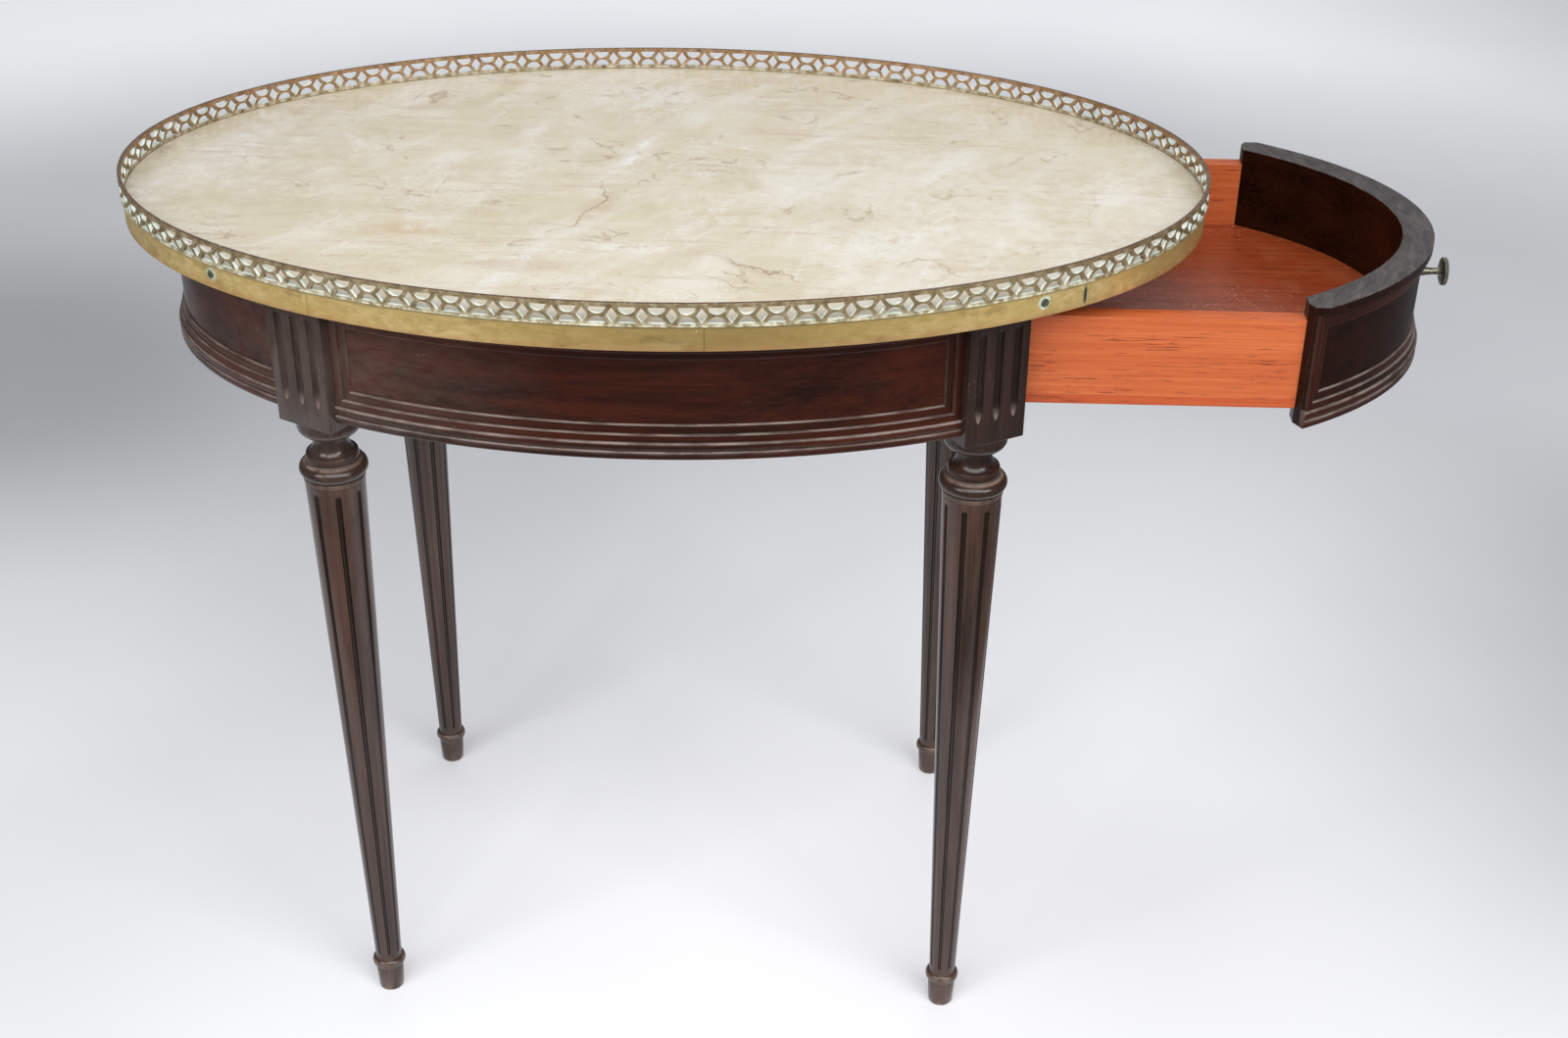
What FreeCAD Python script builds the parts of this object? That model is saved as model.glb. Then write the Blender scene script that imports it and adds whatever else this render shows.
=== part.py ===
import FreeCAD, Part

import math
import os
import re

doc = FreeCAD.newDocument("OvalTable")

# Driving sizes: millimetres, angles in degrees, counts and shares plain
# +X points to the drawer end, +Y to the back, +Z up, and the feet stand on zero
SIZES = {
    # Top: a wooden board with a brass band round it, a marble slab in it and a pierced gallery on it
    "table_high": 760,
    "board_half_long": 447,
    "board_half_wide": 282,
    "gallery_high": 18.5,
    "gallery_wall": 3,
    "band_high": 20,
    "band_thick": 1.2,
    "band_gap": 0.3,
    "band_strip_share": 0.131,
    "band_seam_gap": 0.15,
    "band_first_seam_angle": -123.7,
    "band_screw_angle": -47.85,
    "band_screw_head_radius": 3.3,
    "band_screw_head_thick": 0.8,
    "band_screw_shank_radius": 1.6,
    "band_screw_long": 9,
    "band_screw_slot_wide": 0.9,
    "band_screw_slot_deep": 0.5,
    "band_screw_up": 11.5,
    "marble_thick": 12,
    "marble_flange_thick": 5,
    "marble_below_band": 0.5,
    "marble_rebate": 9,
    "marble_gap": 0.3,
    # Gallery piercing: pairs of D holes between diamonds
    "gallery_repeats": 108,
    "gallery_arcs": 36,
    "gallery_seam_angle": 85.9,
    "gallery_seam_gap": 0.3,
    "gallery_phase_share": 0.24,
    "gallery_foot_rail": 2.8,
    "gallery_hole_high": 5.5,
    "gallery_bar": 1.7,
    "gallery_upper_hole_wide": 13.8,
    "gallery_lower_hole_wide": 13.2,
    "gallery_diamond_wide": 8.8,
    "gallery_diamond_high": 12,
    # Aprons: curved boards between the legs with a sunk, stepped panel and a base moulding
    "apron_high": 106.5,
    "top_overhang_long": 29.5,
    "top_overhang_wide": 26.5,
    "apron_thick": 25.5,
    "panel_sunk": 6.5,
    "outer_step_proud": 4.4,
    "inner_step_proud": 2.2,
    "base_high": 14.5,
    "base_groove_up": 7.2,
    "base_groove_high": 1.5,
    "base_groove_deep": 2.5,
    "outer_step_foot": 6.5,
    "inner_step_foot": 7.5,
    "top_rail_high": 10.5,
    "outer_step_head": 7,
    "inner_step_head": 6,
    "outer_step_side": 6.2,
    "inner_step_side": 6.6,
    # Legs: square fluted blocks over turned, fluted and tapered shafts
    "leg_angle": 50,
    "block_size": 54,
    "block_high": 114.5,
    "block_proud": 5,
    "block_flute_wide": 7,
    "block_flute_pitch": 16,
    "block_flute_up": 19.5,
    "block_flute_top_gap": 16.5,
    "disc_radius": 25.7,
    "disc_high": 15,
    "disc_round": 6,
    "neck_radius": 14.4,
    "neck_high": 22,
    "bell_radius": 21.4,
    "bell_lip": 3,
    "bead_radius": 27.8,
    "bead_high": 13,
    "collar_radius": 25,
    "collar_high": 3.5,
    "shaft_top_radius": 24.4,
    "ankle_radius": 11.8,
    "foot_bead_radius": 15.1,
    "foot_bead_high": 11,
    "foot_high": 27,
    "foot_top_radius": 12.5,
    "foot_end_radius": 11,
    "shaft_flutes": 8,
    "shaft_flute_top_radius": 2.4,
    "shaft_flute_foot_radius": 1.25,
    "shaft_flute_head_gap": 10,
    "shaft_flute_foot_gap": 8,
    # Drawer: a shallow box behind a curved front, shown drawn out
    "drawer_open": 221,
    "drawer_further": 30,
    "front_top_gap": 3.5,
    "front_end_gap": 1.5,
    "front_stile": 2.3,
    "side_inside_leg": 6.2,
    "side_thick": 14.5,
    "side_foot_up": 12.9,
    "side_high": 76,
    "slip_high": 8,
    "slip_ledge_wide": 12,
    "slip_ledge_high": 13,
    "floor_thick": 5,
    "floor_gap": 0.2,
    "drawer_box_back": 50,
    "drawer_back_thick": 14,
    "side_past_leg": 28.7,
    "knob_up": 57.8,
    "knob_radius": 12.2,
    "knob_disc_thick": 4.8,
    "knob_rim_bead": 1.5,
    "knob_stem_radius": 5,
    "knob_neck_radius": 2.7,
    "knob_neck_share": 0.75,
    "knob_stem_long": 20.7,
    "rose_radius": 6.2,
    "rose_thick": 2.2,
    "knob_screw_radius": 2.2,
    "knob_screw_head_radius": 4.2,
    "knob_screw_head_thick": 2.4,
    # Frame pieces that the drawer runs on and that the photograph doesn't show
    "run_gap": 0.5,
    "side_gap": 1.5,
    "runner_wide": 24,
    "runner_foot_gap": 1,
    "runner_guide_thick": 16,
    "runner_guide_high": 40,
    "cross_rail_thick": 20,
    "cross_rail_top_gap": 6,
    "kicker_wide": 34,
    "stop_long": 60,
    "stop_thick": 18,
    "stop_catch": 6,
    "stop_screw_radius": 2.5,
    "stop_screw_head_radius": 5,
    "stop_screw_head_thick": 2.5,
    "stop_screw_long": 28,
    "glue_block_long": 50,
    "glue_block_size": 20,
    "glue_block_share": 0.45,
    "kicker_screw_radius": 2.2,
    "kicker_screw_head_radius": 4.4,
    "kicker_screw_head_high": 2.4,
    "kicker_screw_share": 0.58,
    "kicker_screw_point_gap": 1.5,
    "hole_gap": 0.1,
    # One overrun for every cutting tool
    "overrun": 4,
}

# Sizes that follow from the driving ones
WORKED = {
    "band_top": "table_high - gallery_high",
    "frame_top": "table_high - gallery_high - band_high",
    "marble_top": "table_high - gallery_high - marble_below_band",
    "board_top": "marble_top - marble_flange_thick",
    "recess_floor": "marble_top - marble_thick",
    "apron_foot": "frame_top - apron_high",
    "apron_half_long": "board_half_long - top_overhang_long",
    "apron_half_wide": "board_half_wide - top_overhang_wide",
    "field_half_long": "apron_half_long - panel_sunk",
    "field_half_wide": "apron_half_wide - panel_sunk",
    "inside_half_long": "apron_half_long - apron_thick",
    "inside_half_wide": "apron_half_wide - apron_thick",
    "base_top": "apron_foot + base_high",
    "outer_window_foot": "base_top + outer_step_foot",
    "field_foot": "outer_window_foot + inner_step_foot",
    "panel_head": "frame_top - top_rail_high",
    "outer_window_head": "panel_head - outer_step_head",
    "field_head": "outer_window_head - inner_step_head",
    "leg_slope_x": "cos(leg_angle) / apron_half_long",
    "leg_slope_y": "sin(leg_angle) / apron_half_wide",
    "leg_slope": "sqrt(leg_slope_x ^ 2 + leg_slope_y ^ 2)",
    "leg_inset": "block_size / 2 - block_proud",
    "leg_x": "apron_half_long * cos(leg_angle) - leg_inset * leg_slope_x / leg_slope",
    "leg_y": "apron_half_wide * sin(leg_angle) - leg_inset * leg_slope_y / leg_slope",
    "leg_turn": "atan((leg_x / leg_y) * (apron_half_wide / apron_half_long) ^ 2)",
    "block_foot": "frame_top - block_high",
    "disc_foot": "block_foot - disc_high",
    "neck_foot": "disc_foot - neck_high",
    "bell_flare": "bell_radius - neck_radius",
    "bead_top": "neck_foot - bell_lip",
    "bead_foot": "bead_top - bead_high",
    "shaft_top": "bead_foot - collar_high",
    "ankle": "foot_high + foot_bead_high",
    "side_from_middle": "leg_y - side_inside_leg",
    "side_front_end": "leg_x + side_past_leg",
    "drawer_side_foot": "apron_foot + side_foot_up",
    "drawer_side_top": "drawer_side_foot + side_high",
    "drawer_floor_top": "drawer_side_foot + slip_ledge_high + floor_thick",
    "drawer_front_top": "frame_top - front_top_gap",
    "runner_top": "drawer_side_foot - run_gap",
    "kicker_foot": "drawer_side_top + run_gap",
    "notch_half_wide": "side_from_middle + side_gap",
    "cross_rail_face": "-drawer_box_back - run_gap",
    "stop_foot": "drawer_side_top - stop_catch",
    "stop_face": "-drawer_box_back + drawer_back_thick + drawer_open + drawer_further",
    "knob_out": "field_half_long + rose_thick + knob_stem_long + knob_disc_thick",
    "set_back": "(drawer_open + knob_out - board_half_long - gallery_wall) / 2",
}


def fill_sheet(name, values, make_text):
    """A spreadsheet with one aliased cell a row."""
    sheet = doc.addObject("Spreadsheet::Sheet", name)
    for row, (alias, value) in enumerate(values.items(), start=1):
        cell = "A%d" % row
        sheet.set(cell, make_text(value))
        sheet.setAlias(cell, alias)
        doc.recompute()
    return sheet


def with_cells(formula, own_sheet=""):
    """A formula written in plain size names, pointed at the cells that hold them."""
    def cell_of(found):
        word = found.group(0)
        if word in SIZES:
            return "sizes." + word
        if word in WORKED:
            return own_sheet + word
        return word
    return re.sub(r"[a-z_]+[a-z0-9_]*", cell_of, formula)


sizes = fill_sheet("sizes", SIZES, lambda value: "%s" % value)
worked = fill_sheet("worked", WORKED, lambda formula: "=" + with_cells(formula))


def size(name):
    """The number in a named cell, for shapes that are worked out in code."""
    sheet = sizes if name in SIZES else worked
    return float(getattr(sheet, name))


def bind(thing, **formulas):
    """Tie properties to formulas of size names; a dot in a property is written as two underscores."""
    for name, formula in formulas.items():
        if formula != "0":
            thing.setExpression(name.replace("__", "."), with_cells(formula, "worked."))
    return thing


def place(thing, x="0", y="0", z="0"):
    """Put a piece somewhere by formulas."""
    return bind(thing, Placement__Base__x=x, Placement__Base__y=y, Placement__Base__z=z)


def turn(thing, axis, angle):
    """Turn a piece about one of its axes by a formula, in degrees."""
    thing.Placement = FreeCAD.Placement(thing.Placement.Base, FreeCAD.Rotation(axis, 1))
    return bind(thing, Placement__Rotation__Angle=angle)


def box(name, length, width, height, x="0", y="0", z="0"):
    return place(bind(doc.addObject("Part::Box", name), Length=length, Width=width, Height=height), x, y, z)


def rod(name, radius, height, x="0", y="0", z="0"):
    return place(bind(doc.addObject("Part::Cylinder", name), Radius=radius, Height=height), x, y, z)


def cone(name, low_radius, top_radius, height, x="0", y="0", z="0"):
    thing = bind(doc.addObject("Part::Cone", name), Radius1=low_radius, Radius2=top_radius, Height=height)
    return place(thing, x, y, z)


def ball(name, radius, x="0", y="0", z="0"):
    return place(bind(doc.addObject("Part::Sphere", name), Radius=radius), x, y, z)


def torus(name, ring_radius, tube_radius, x="0", y="0", z="0"):
    return place(bind(doc.addObject("Part::Torus", name), Radius1=ring_radius, Radius2=tube_radius), x, y, z)


def oval(name, half_long, half_wide, foot, head):
    """An upright oval block from one height to another."""
    outline = doc.addObject("Part::Ellipse", name + "_line")
    bind(outline, MajorRadius=half_long, MinorRadius=half_wide, Placement__Base__z=foot)
    block = doc.addObject("Part::Extrusion", name)
    block.Base = outline
    block.DirMode = "Custom"
    block.Dir = UP
    block.Solid = True
    return bind(block, LengthFwd="(%s) - (%s)" % (head, foot))


def cut(name, base, tool):
    thing = doc.addObject("Part::Cut", name)
    thing.Base = base
    thing.Tool = tool
    return thing


def common(name, base, tool):
    thing = doc.addObject("Part::Common", name)
    thing.Base = base
    thing.Tool = tool
    return thing


def fuse(name, *pieces):
    thing = doc.addObject("Part::MultiFuse", name)
    thing.Shapes = list(pieces)
    return thing


def group(name, *pieces):
    """Separate solids kept side by side in one piece or one tool."""
    thing = doc.addObject("Part::Compound", name)
    thing.Links = list(pieces)
    return thing


def mirrored(name, source, normal):
    thing = doc.addObject("Part::Mirroring", name)
    thing.Source = source
    thing.Normal = normal
    return thing


def whole(name, thing, x="-set_back"):
    """Name a finished piece and set it out from the middle of the whole table's length."""
    piece = place(group(name + "_set_out", thing), x)
    piece.Label = name
    PIECES.append(piece)


UP = FreeCAD.Vector(0, 0, 1)
ALONG = FreeCAD.Vector(1, 0, 0)
ACROSS = FreeCAD.Vector(0, 1, 0)
PIECES = []
SIDES = {"front": -1, "back": 1}
CORNERS = {"front_left": (-1, -1), "back_left": (-1, 1), "front_right": (1, -1), "back_right": (1, 1)}
RIGHT_CORNERS = [corner for corner in CORNERS if CORNERS[corner][0] > 0]


def leg_boxes(name, grow, corners):
    """Upright boxes over the square leg blocks, grown outwards on every side."""
    half = "(block_size / 2 + %s)" % grow
    boxes = []
    for corner in corners:
        side_x, side_y = CORNERS[corner]
        angle = "%d * leg_turn" % (-side_x * side_y)
        thing = box(name + "_" + corner, "2 * " + half, "2 * " + half, "2 * block_high",
                    "%d * leg_x - %s * (cos(%s) - sin(%s))" % (side_x, half, angle, angle),
                    "%d * leg_y - %s * (sin(%s) + cos(%s))" % (side_y, half, angle, angle),
                    "frame_top - 2 * block_high + overrun")
        boxes.append(turn(thing, UP, angle))
    return group(name, *boxes)


# Top board with its sunk bed for the slab
board_blank = oval("board_blank", "board_half_long", "board_half_wide", "frame_top", "board_top")
board_bed = oval("board_bed", "board_half_long - marble_rebate", "board_half_wide - marble_rebate",
                 "recess_floor", "board_top + overrun")
board_bedded = cut("board_bedded", board_blank, board_bed)

# Marble slab, rebated so that its edge laps the board
slab_edge = oval("slab_edge", "board_half_long - marble_gap", "board_half_wide - marble_gap",
                 "board_top", "marble_top")
slab_plug = oval("slab_plug", "board_half_long - marble_rebate - marble_gap",
                 "board_half_wide - marble_rebate - marble_gap", "recess_floor", "board_top")
whole("marble_top", fuse("slab", slab_edge, slab_plug))


# Brass band in strips, with four slotted screws
def oval_curve(half_long, half_wide):
    return Part.Ellipse(FreeCAD.Vector(0, 0, 0), half_long, half_wide)


def angles_along(curve, start_angle, steps):
    """Curve angles at given distances along an oval from a starting angle."""
    turn_length = curve.length(0, 2 * math.pi)
    start = curve.length(0, math.radians(start_angle) % (2 * math.pi))
    return [curve.parameterAtDistance((start + step) % turn_length, 0) for step in steps]


def outward(half_long, half_wide, angle):
    """Point on an oval and the heading of its normal there."""
    point = FreeCAD.Vector(half_long * math.cos(angle), half_wide * math.sin(angle), 0)
    heading = math.atan2(math.sin(angle) / half_wide, math.cos(angle) / half_long)
    return point, heading


def band_strip(inner, outer, first, last):
    """A strip of the band between two curve angles."""
    near = Part.ArcOfEllipse(inner, first, last).toShape()
    far = Part.ArcOfEllipse(outer, first, last).toShape()
    ends = [Part.makeLine(near.valueAt(near.FirstParameter), far.valueAt(far.FirstParameter)),
            Part.makeLine(near.valueAt(near.LastParameter), far.valueAt(far.LastParameter))]
    face = Part.Face(Part.Wire([near, ends[1], far, ends[0]]))
    return face.extrude(UP * size("band_high"))


def radial(thing, half_long, half_wide, angle, height, inset):
    """Lay a piece along the oval's normal, its foot a given way inside the oval."""
    point, heading = outward(half_long, half_wide, angle)
    across = FreeCAD.Vector(math.cos(heading), math.sin(heading), 0)
    base = point - across * inset + UP * height
    lie_out = FreeCAD.Rotation(UP, math.degrees(heading)).multiply(FreeCAD.Rotation(ACROSS, 90))
    thing.Placement = FreeCAD.Placement(base, lie_out)
    return thing


band_inner = (size("board_half_long") + size("band_gap"), size("board_half_wide") + size("band_gap"))
band_outer = (band_inner[0] + size("band_thick"), band_inner[1] + size("band_thick"))
screw_angle = math.radians(size("band_screw_angle"))
screw_angles = [screw_angle, screw_angle + math.pi / 2, screw_angle + math.pi, screw_angle - math.pi / 2]
screw_height = size("frame_top") + size("band_screw_up")
band_screws = []
band_holes = []
for number, angle in enumerate(screw_angles, start=1):
    spot = (*band_outer, angle, screw_height)
    shank = rod("band_screw_shank_%d" % number, "band_screw_shank_radius", "band_screw_long")
    radial(shank, *spot, size("band_screw_long"))
    head = rod("band_screw_head_%d" % number, "band_screw_head_radius", "band_screw_head_thick")
    radial(head, *spot, 0)
    slot_half_long = size("band_screw_head_radius") + size("overrun")
    slot = box("band_screw_slot_%d" % number, "2 * (band_screw_head_radius + overrun)",
               "band_screw_slot_wide", "overrun")
    radial(slot, *spot, size("band_screw_slot_deep") - size("band_screw_head_thick"))
    half_slot = FreeCAD.Vector(slot_half_long, size("band_screw_slot_wide") / 2, 0)
    slot.Placement.Base = slot.Placement.Base - slot.Placement.Rotation.multVec(half_slot)
    band_screws.append(cut("band_screw_%d" % number, fuse("band_screw_blank_%d" % number, shank, head), slot))
    hole = rod("band_hole_%d" % number, "band_screw_shank_radius + hole_gap", "band_screw_long + overrun")
    band_holes.append(radial(hole, *spot, size("band_screw_long")))
whole("band_screws", group("band_screw_set", *band_screws))
band_hole_set = group("band_hole_set", *band_holes)
doc.recompute()

inner_line = oval_curve(*band_inner)
outer_line = oval_curve(*band_outer)
band_length = outer_line.length(0, 2 * math.pi)
strip_long = size("band_strip_share") * band_length
strip_count = math.ceil(1 / size("band_strip_share"))
seams = [strip_long * number for number in range(strip_count)] + [band_length]
for number in range(strip_count):
    ends = (seams[number] + size("band_seam_gap") / 2, seams[number + 1] - size("band_seam_gap") / 2)
    first, last = angles_along(outer_line, size("band_first_seam_angle"), ends)
    if last < first:
        last += 2 * math.pi
    strip = doc.addObject("Part::Feature", "band_strip_plain_%d" % (number + 1))
    strip.Shape = band_strip(inner_line, outer_line, first, last)
    place(strip, z="frame_top")
    whole("band_strip_%d" % (number + 1), cut("band_strip_drilled_%d" % (number + 1), strip, band_hole_set))


# Gallery: an upright pierced strip standing on the band
def arch(width, height, downwards):
    """A D hole standing in the local x and z plane, flat side on the x axis."""
    tip = -height if downwards else height
    left, right = FreeCAD.Vector(-width / 2, 0, 0), FreeCAD.Vector(width / 2, 0, 0)
    bow = Part.Arc(left, FreeCAD.Vector(0, 0, tip), right).toShape()
    return Part.Wire([bow, Part.makeLine(right, left)])


def diamond(width, height):
    corners = [FreeCAD.Vector(width / 2, 0, 0), FreeCAD.Vector(0, 0, height / 2),
               FreeCAD.Vector(-width / 2, 0, 0), FreeCAD.Vector(0, 0, -height / 2)]
    return Part.makePolygon(corners + corners[:1])


def punch(outline, point, heading, height):
    """A hole through the gallery's wall with the given outline, square to the oval there."""
    reach = size("gallery_wall") + size("overrun")
    tool = Part.Face(outline).extrude(FreeCAD.Vector(0, 2 * reach, 0))
    tool.translate(FreeCAD.Vector(0, -reach, height))
    facing = FreeCAD.Rotation(UP, math.degrees(heading) + 90)
    tool.Placement = FreeCAD.Placement(point, facing).multiply(tool.Placement)
    return tool


def arc_ring(half_long, half_wide):
    """An oval outline drawn with short circular arcs through points of the true oval."""
    line = oval_curve(half_long, half_wide)
    sweep = 2 * math.pi / int(size("gallery_arcs"))
    arcs = []
    for number in range(int(size("gallery_arcs"))):
        points = [line.value(sweep * (number + share)) for share in (0, 1 / 2, 1)]
        arcs.append(Part.Arc(*points).toShape())
    return Part.Wire(arcs)


def gallery_shape():
    inner = (size("board_half_long"), size("board_half_wide"))
    outer = (inner[0] + size("gallery_wall"), inner[1] + size("gallery_wall"))
    wall = Part.Face(arc_ring(*outer)).cut(Part.Face(arc_ring(*inner))).extrude(UP * size("gallery_high"))
    line = oval_curve(*outer)
    count = int(size("gallery_repeats"))
    pitch = line.length(0, 2 * math.pi) / count
    low = size("gallery_foot_rail")
    high = low + 2 * size("gallery_hole_high") + size("gallery_bar")
    outlines = {
        (0, low): arch(size("gallery_lower_hole_wide"), size("gallery_hole_high"), False),
        (0, high): arch(size("gallery_upper_hole_wide"), size("gallery_hole_high"), True),
        (pitch / 2, (low + high) / 2): diamond(size("gallery_diamond_wide"), size("gallery_diamond_high")),
    }
    punches = []
    for (offset, height), outline in outlines.items():
        steps = [(number + size("gallery_phase_share")) * pitch + offset for number in range(count)]
        for angle in angles_along(line, size("gallery_seam_angle"), steps):
            point, heading = outward(*outer, angle)
            punches.append(punch(outline, point, heading, height))
    point, heading = outward(*outer, math.radians(size("gallery_seam_angle")))
    kerf = Part.makeBox(2 * size("overrun"), size("gallery_seam_gap"), size("table_high"))
    kerf.translate(FreeCAD.Vector(-size("overrun"), -size("gallery_seam_gap") / 2, 0))
    facing = FreeCAD.Rotation(UP, math.degrees(heading))
    kerf.Placement = FreeCAD.Placement(point, facing).multiply(kerf.Placement)
    return wall.cut(punches + [kerf])


gallery = doc.addObject("Part::Feature", "gallery_plain")
gallery.Shape = gallery_shape()
whole("gallery", place(gallery, z="band_top"))


# Legs: one is built upright on zero, with its outer face to the front, then set out and mirrored
def between(name, radius, foot, head):
    """An upright round piece on the leg's middle line."""
    return rod(name, radius, "(%s) - (%s)" % (head, foot), z=foot)


def round_ended(name, low_radius, top_radius, foot, head, x="0", y="0"):
    """An upright flute cutter with a ball at each end."""
    stem = cone(name + "_stem", low_radius, top_radius, "(%s) - (%s)" % (head, foot), x, y, foot)
    balls = [ball(name + "_low", low_radius, x, y, foot), ball(name + "_top", top_radius, x, y, head)]
    return fuse(name, stem, *balls)


leg_block = box("leg_block", "block_size", "block_size", "block_high",
                "-block_size / 2", "-block_size / 2", "block_foot")
disc_inner = "(disc_radius - disc_round)"
bead_half = "(bead_high / 2)"
foot_bead_half = "(foot_bead_high / 2)"
foot_bead_inner = "(foot_bead_radius - foot_bead_high / 2)"
bell = cut("bell", between("bell_blank", "bell_radius", "bead_top", "neck_foot + bell_flare"),
           torus("bell_hollow", "bell_radius", "bell_flare", z="neck_foot + bell_flare"))
turned = fuse(
    "turned_leg",
    leg_block,
    between("disc", "disc_radius", "disc_foot + disc_round", "block_foot"),
    torus("disc_edge", disc_inner, "disc_round", z="disc_foot + disc_round"),
    between("disc_core", disc_inner, "disc_foot", "disc_foot + disc_round"),
    between("neck", "neck_radius", "neck_foot", "disc_foot"),
    bell,
    torus("bead", "bead_radius - " + bead_half, bead_half, z="bead_foot + " + bead_half),
    between("bead_core", "bead_radius - " + bead_half, "bead_foot", "bead_top"),
    between("collar", "collar_radius", "shaft_top", "bead_foot"),
    cone("shaft", "ankle_radius", "shaft_top_radius", "shaft_top - ankle", z="ankle"),
    torus("foot_bead", foot_bead_inner, foot_bead_half, z="foot_high + " + foot_bead_half),
    between("foot_bead_core", foot_bead_inner, "foot_high", "ankle"),
    cone("foot", "foot_end_radius", "foot_top_radius", "foot_high"),
)
doc.recompute()

flute_foot = size("ankle") + size("shaft_flute_foot_gap")
flute_head = size("shaft_top") - size("shaft_flute_head_gap")
taper = (size("shaft_top_radius") - size("ankle_radius")) / (size("shaft_top") - size("ankle"))
flute_long = (flute_head - flute_foot) * math.hypot(1, taper)
lean = FreeCAD.Rotation(ALONG, math.degrees(math.atan(taper)))
foot_out = size("ankle_radius") + taper * size("shaft_flute_foot_gap")
shaft_flutes = []
for number in range(int(size("shaft_flutes"))):
    flute = round_ended("shaft_flute_%d" % (number + 1), "shaft_flute_foot_radius", "shaft_flute_top_radius",
                        "0", "shaft_top - ankle - shaft_flute_head_gap - shaft_flute_foot_gap")
    around = FreeCAD.Rotation(UP, 360 / size("shaft_flutes") * number)
    foot_point = around.multVec(ACROSS * -foot_out) + UP * flute_foot
    flute.Placement = FreeCAD.Placement(foot_point, around.multiply(lean))
    shaft_flutes.append(flute)
block_flutes = []
for step in (-1, 0, 1):
    flute_radius = "(block_flute_wide / 2)"
    block_flutes.append(round_ended("block_flute_%d" % (step + 2), flute_radius, flute_radius,
                                    "block_foot + block_flute_up + block_flute_wide / 2",
                                    "frame_top - block_flute_top_gap - block_flute_wide / 2",
                                    "%d * block_flute_pitch" % step, "-block_size / 2"))
leg = cut("leg", turned, group("flutes", *shaft_flutes, *block_flutes))
leg_left = group("leg_left", leg)
place(turn(leg_left, UP, "-leg_turn"), "-leg_x", "-leg_y")
notch = box("drawer_notch", "2 * block_size", "2 * notch_half_wide", "kicker_foot - runner_top",
            "leg_x - block_size", "-notch_half_wide", "runner_top")
leg_right = cut("leg_right", mirrored("leg_right_whole", leg_left, ALONG), notch)
whole("leg_front_left", leg_left)
whole("leg_back_left", mirrored("leg_left_back", leg_left, ACROSS))
whole("leg_front_right", leg_right)
whole("leg_back_right", mirrored("leg_right_back", leg_right, ACROSS))


# Aprons and drawer front: rings of the same section, cut off at the leg blocks
OUT = ("apron_half_long", "apron_half_wide")
FIELD = ("field_half_long", "field_half_wide")
INSIDE = ("inside_half_long", "inside_half_wide")
WIDE = ("(apron_half_long + overrun)", "(apron_half_wide + overrun)")


def lifted(line, proud):
    """The two half widths of an oval a given way outside another."""
    return tuple("(%s + %s)" % (half, proud) for half in line)


def panel_rings(name, end_gap, stile, head, corners):
    """Board, stepped frame and base moulding as full rings, open at the legs."""
    inside = oval(name + "_inside", *INSIDE, "apron_foot - overrun", "frame_top + overrun")
    field = oval(name + "_field", *FIELD, "apron_foot", head)
    ends = leg_boxes(name + "_ends", end_gap, corners)
    rail = oval(name + "_rail", *OUT, "panel_head", head)
    solid = fuse(name + "_solid", field, rail)
    if stile != "0":
        stile_ring = oval(name + "_stile_ring", *OUT, "base_top", "panel_head")
        stile_ends = leg_boxes(name + "_stile_ends", "%s + %s" % (end_gap, stile), corners)
        solid = fuse(name + "_stiled", solid, common(name + "_stiles", stile_ring, stile_ends))
    board = cut(name + "_board", cut(name + "_hollow", solid, inside), ends)
    side = "%s + %s + outer_step_side" % (end_gap, stile)
    outer_hole = oval(name + "_outer_hole", *WIDE, "outer_window_foot", "outer_window_head")
    outer_window = cut(name + "_outer_window", outer_hole, leg_boxes(name + "_outer_sides", side, corners))
    field_hole = oval(name + "_field_hole", *WIDE, "field_foot", "field_head")
    field_sides = leg_boxes(name + "_field_sides", side + " + inner_step_side", corners)
    field_window = cut(name + "_field_window", field_hole, field_sides)
    outer_blank = oval(name + "_outer_blank", *lifted(FIELD, "outer_step_proud"), "base_top", "panel_head")
    outer_step = cut(name + "_outer_step", outer_blank, outer_window)
    inner_blank = oval(name + "_inner_blank", *lifted(FIELD, "inner_step_proud"),
                       "outer_window_foot", "outer_window_head")
    inner_step = cut(name + "_inner_step", inner_blank, field_window)
    steps = cut(name + "_steps", fuse(name + "_step_blank", outer_step, inner_step), field)
    frame_ends = leg_boxes(name + "_frame_ends", "%s + %s" % (end_gap, stile), corners)
    frame = cut(name + "_frame", steps, frame_ends)
    groove_foot = "apron_foot + base_groove_up"
    groove_top = groove_foot + " + base_groove_high"
    beads = fuse(name + "_beads",
                 oval(name + "_low_bead", *OUT, "apron_foot", groove_foot),
                 oval(name + "_groove", *lifted(OUT, "-base_groove_deep"), groove_foot, groove_top),
                 oval(name + "_high_bead", *OUT, groove_top, "base_top"))
    base = cut(name + "_base", cut(name + "_base_ring", beads, field), ends)
    return {"": board, "_frame": frame, "_base": base}


apron = panel_rings("apron", "0", "0", "frame_top", CORNERS)
front_zone = box("front_zone", "2 * leg_x", "2 * leg_y", "block_high", "-leg_x", "-3 * leg_y", "block_foot")
left_zone = box("left_zone", "2 * leg_x", "2 * leg_y", "block_high", "-3 * leg_x", "-leg_y", "block_foot")
for suffix, ring in apron.items():
    front = common("front" + suffix, ring, front_zone)
    whole("apron_front" + suffix, front)
    whole("apron_back" + suffix, mirrored("back" + suffix, front, ACROSS))
    whole("apron_left" + suffix, common("left" + suffix, ring, left_zone))


# Drawer, built shut and then drawn out along +X
def drawn(name, thing):
    """A finished piece of the drawer, moved out with it."""
    whole(name, thing, "drawer_open - set_back")


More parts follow.
